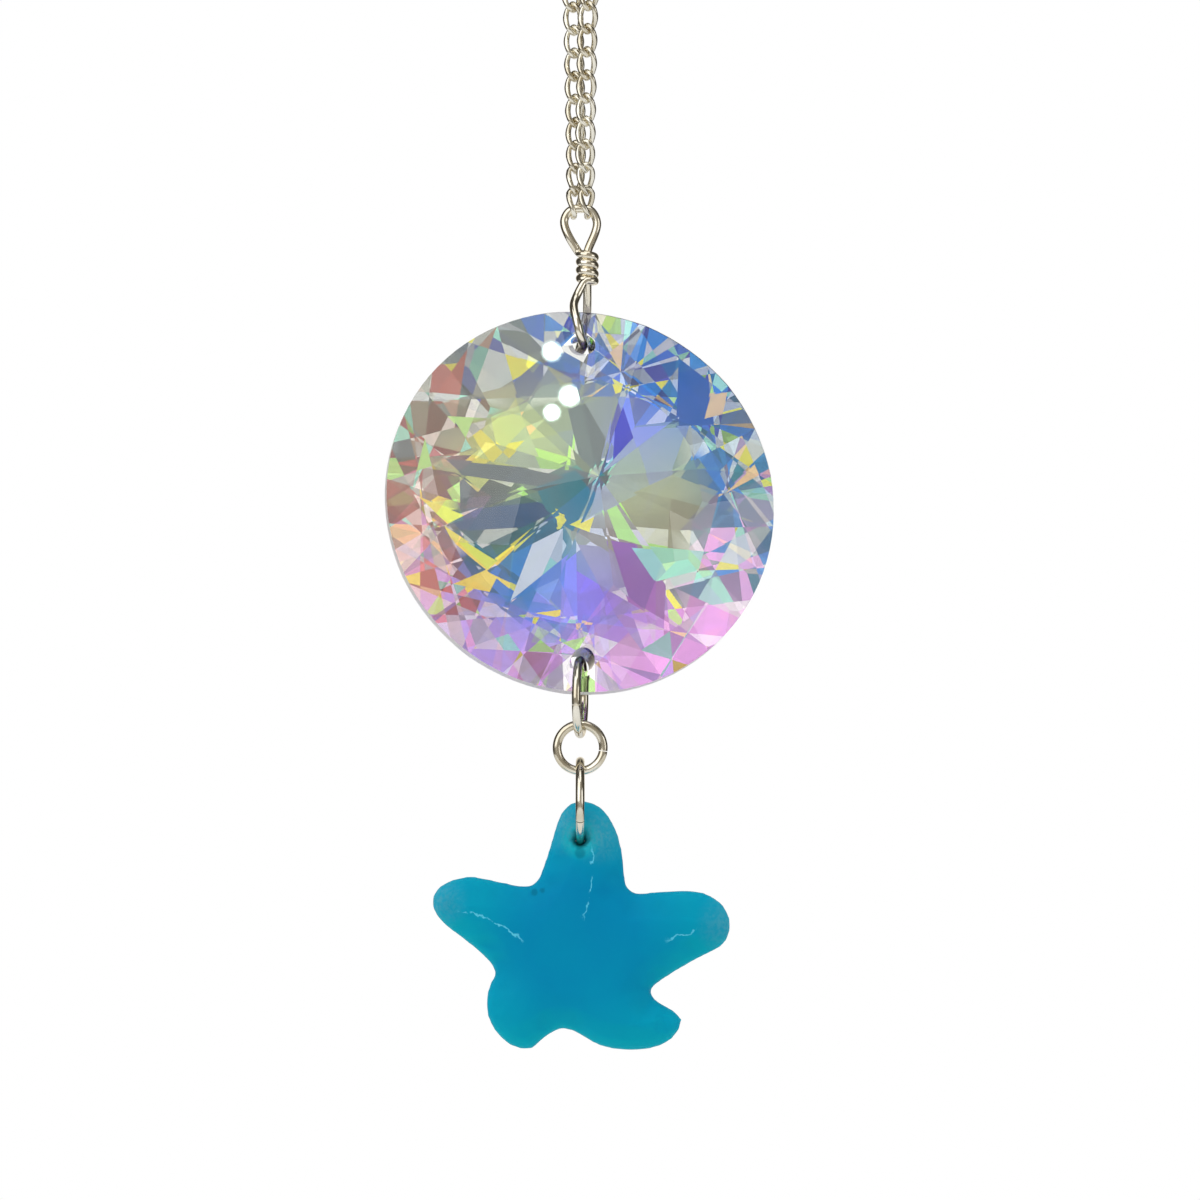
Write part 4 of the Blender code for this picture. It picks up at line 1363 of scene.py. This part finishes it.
@dataclass
class Studio:
    """A pale floor, a bright backdrop, soft boxes, small lamps and the camera."""

    view_width: float = 122.2 * MM
    lens: float = 150.0
    sensor: float = 36.0
    nearest: float = 0.01
    sideways: float = 2.0 * MM
    below_crystal: float = 10.0 * MM
    floor_drop: float = 60.0 * MM
    floor_radius: float = 0.33
    floor_colour: Triple = (0.86, 0.86, 0.85)
    floor_grain: Grain = Grain(40.0, 3.0, (0.3, 0.7), (0.55, 0.65))
    aim: Triple = (0.0, 0.0, -0.07)
    soft_boxes: tuple[SoftBox, ...] = (
        SoftBox("key soft box", (-0.34, -0.46, 0.22), 0.70, 1.75),
        SoftBox("side soft box", (0.50, -0.30, 0.00), 0.30, 0.30),
        SoftBox("top soft box", (0.05, -0.20, 0.50), 0.40, 0.55))
    lamp_distance: float = 0.6
    lamp_glow: float = 32.0
    lamp_colour: Triple = (0.80, 1.0, 0.96)
    lamp_rings: tuple[Pair, ...] = ((0.78, 1.0), (0.94, 0.35), (1.1, 0.12))
    lamp_spots: tuple[Triple, ...] = (
        (-2.9 * MM, 15.3 * MM, 2.3 * MM), (-1.1 * MM, 10.8 * MM, 2.5 * MM),
        (-2.9 * MM, 9.1 * MM, 2.0 * MM))
    reflected_room: tuple[Pair, ...] = (
        (0.0, 0.36), (0.25, 0.22), (0.50, 0.07), (0.75, 0.04), (0.90, 0.08), (1.0, 0.95))
    reflected_tint: Triple = (1.0, 0.92, 0.78)
    refracted_room: tuple[Pair, ...] = (
        (0.0, 0.45), (0.28, 0.30), (0.56, 0.40), (0.70, 0.75), (0.83, 1.3), (1.0, 1.45))
    refracted_tint: Triple = (1.04, 1.03, 0.93)
    diffuse_room: tuple[Pair, ...] = ((0.0, 0.55), (1.0, 0.80))
    backdrop: tuple[Pair, ...] = ((0.0, 1.0), (1.0, 1.0))

    def build_camera(self) -> None:
        """Set the camera where the photograph was taken from."""
        centre = centre_of("crystal")
        data = bpy.data.cameras.new("camera")
        data.lens, data.sensor_width = self.lens, self.sensor
        data.clip_start = self.nearest
        camera = bpy.data.objects.new("camera", data)
        away = self.view_width / self.sensor * self.lens
        camera.location = (self.sideways, centre.y - away, centre.z - self.below_crystal)
        camera.rotation_euler = (math.pi / 2, 0.0, 0.0)
        Bench.link(camera)
        bpy.context.scene.camera = camera

    def build_floor(self) -> None:
        """Lay the pale floor below the starfish, too small to reach the photograph's view."""
        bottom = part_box("starfish")[0].z
        Bench.clear()
        bpy.ops.mesh.primitive_circle_add(vertices=128, radius=self.floor_radius, fill_type="NGON",
                                          location=(0.0, 0.0, bottom - self.floor_drop))
        floor = bpy.context.object
        floor.name = "floor"
        shader = Shader("pale floor", Base_Color=opaque(self.floor_colour))
        shader.roughness(shader.pattern(self.floor_grain))
        floor.data.materials.append(shader.material)

    @staticmethod
    def hang(data: bpy.types.Light, place: Vector, aim: Vector) -> None:
        """Hang a light, turned to what it lights.

        Args:
            data: the light.
            place: where it hangs.
            aim: what it is turned to.
        """
        light = bpy.data.objects.new(data.name, data)
        light.location = place
        light.rotation_euler = (aim - light.location).to_track_quat("-Z", "Y").to_euler()
        Bench.link(light)

    def build_lamp(self, across: float, above: float, radius: float) -> None:
        """Hang a small round lamp where the crystal's front mirrors it in one spot.

        Args:
            across: the spot's place across from the crystal's middle.
            above: its height above the middle.
            radius: the lamp's radius.
        """
        camera = bpy.context.scene.camera.location
        target = centre_of("crystal") + Vector((across, 0.0, above))
        _, place, normal, _ = bpy.data.objects["cut_crystal"].ray_cast(
            camera, (target - camera).normalized())
        mirrored = (place - camera).normalized().reflect(normal)
        for ring, (share, glow) in enumerate(self.lamp_rings):
            data = bpy.data.lights.new("small lamp", "AREA")
            data.shape, data.size, data.color = "DISK", 2 * radius * share, self.lamp_colour
            data.energy = glow * self.lamp_glow * (math.pi * radius * share) ** 2
            self.hang(data, place + mirrored * (self.lamp_distance + ring * MM), place)

    def build_world(self) -> None:
        """Light the room: a bright backdrop behind, a dimmer room in front."""
        world = bpy.data.worlds.new("studio")
        bpy.context.scene.world = world
        world.use_nodes = True
        nodes = Nodes(world.node_tree)
        direction = nodes.add("ShaderNodeTexCoord").outputs["Generated"]
        depth = nodes.add("ShaderNodeSeparateXYZ", Vector=direction).outputs["Y"]
        depth = nodes.remap(depth, (-1.0, 1.0))
        path = nodes.add("ShaderNodeLightPath")
        colour = self.room(nodes, depth, self.reflected_room, self.reflected_tint)
        for ray, stops, tint in (
                ("Is Diffuse Ray", self.diffuse_room, WHITE),
                ("Is Transmission Ray", self.refracted_room, self.refracted_tint),
                ("Is Camera Ray", self.backdrop, WHITE)):
            colour = nodes.blend(path.outputs[ray], colour,
                                 self.room(nodes, depth, stops, tint))
        nodes.feed(nodes.tree.nodes["Background"], "Color", colour)

    @staticmethod
    def room(nodes: Nodes, depth: bpy.types.NodeSocket, stops: tuple[Pair, ...],
             tint: Triple) -> bpy.types.NodeSocket:
        """Return the room's brightness from the camera's side to the backdrop.

        Args:
            nodes: the world's nodes.
            depth: 0 straight in front of the piece, 1 straight behind it.
            stops: pairs of place and brightness.
            tint: the room's colour.

        Returns:
            The colour socket.
        """
        ramp_node = nodes.add("ShaderNodeValToRGB", Fac=depth)
        elements = ramp_node.color_ramp.elements
        elements[0].position, elements[1].position = stops[0][0], stops[-1][0]
        for position, _ in stops[1:-1]:
            elements.new(position)
        for element, (_, value) in zip(elements, stops):
            element.color = opaque(tuple(value * part for part in tint))
        return ramp_node.outputs["Color"]

    def build(self) -> None:
        """Set up the whole studio."""
        self.build_floor()
        self.build_camera()
        self.build_world()
        for box in self.soft_boxes:
            data = bpy.data.lights.new(box.name, "AREA")
            data.size, data.energy = box.size, box.energy
            self.hang(data, Vector(box.place), Vector(self.aim))
        for spot in self.lamp_spots:
            self.build_lamp(*spot)
        scene = bpy.context.scene
        scene.view_settings.view_transform = "Standard"
        scene.cycles.max_bounces = 32
        scene.cycles.transmission_bounces = 28
        scene.cycles.glossy_bounces = 12
        scene.cycles.use_denoising = True


def main() -> None:
    """Build and dress every piece, then the studio."""
    logging.basicConfig(level=logging.INFO, format="%(name)s: %(message)s")
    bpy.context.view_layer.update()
    CurbChain().build()
    WireEye().build()
    rings = SilverFinish("ring silver", mark_scale=1000.0).material()
    for node, yaw, cut_turn in (("crystal_ring", -6.0, 100.0), ("middle_ring", 89.0, 98.0),
                                ("starfish_ring", 0.0, 117.0)):
        JumpRing(node, math.radians(yaw), math.radians(cut_turn)).build(rings)
    Crystal().build()
    Starfish().build()
    Studio().build()


if __name__ == "__main__":
    main()
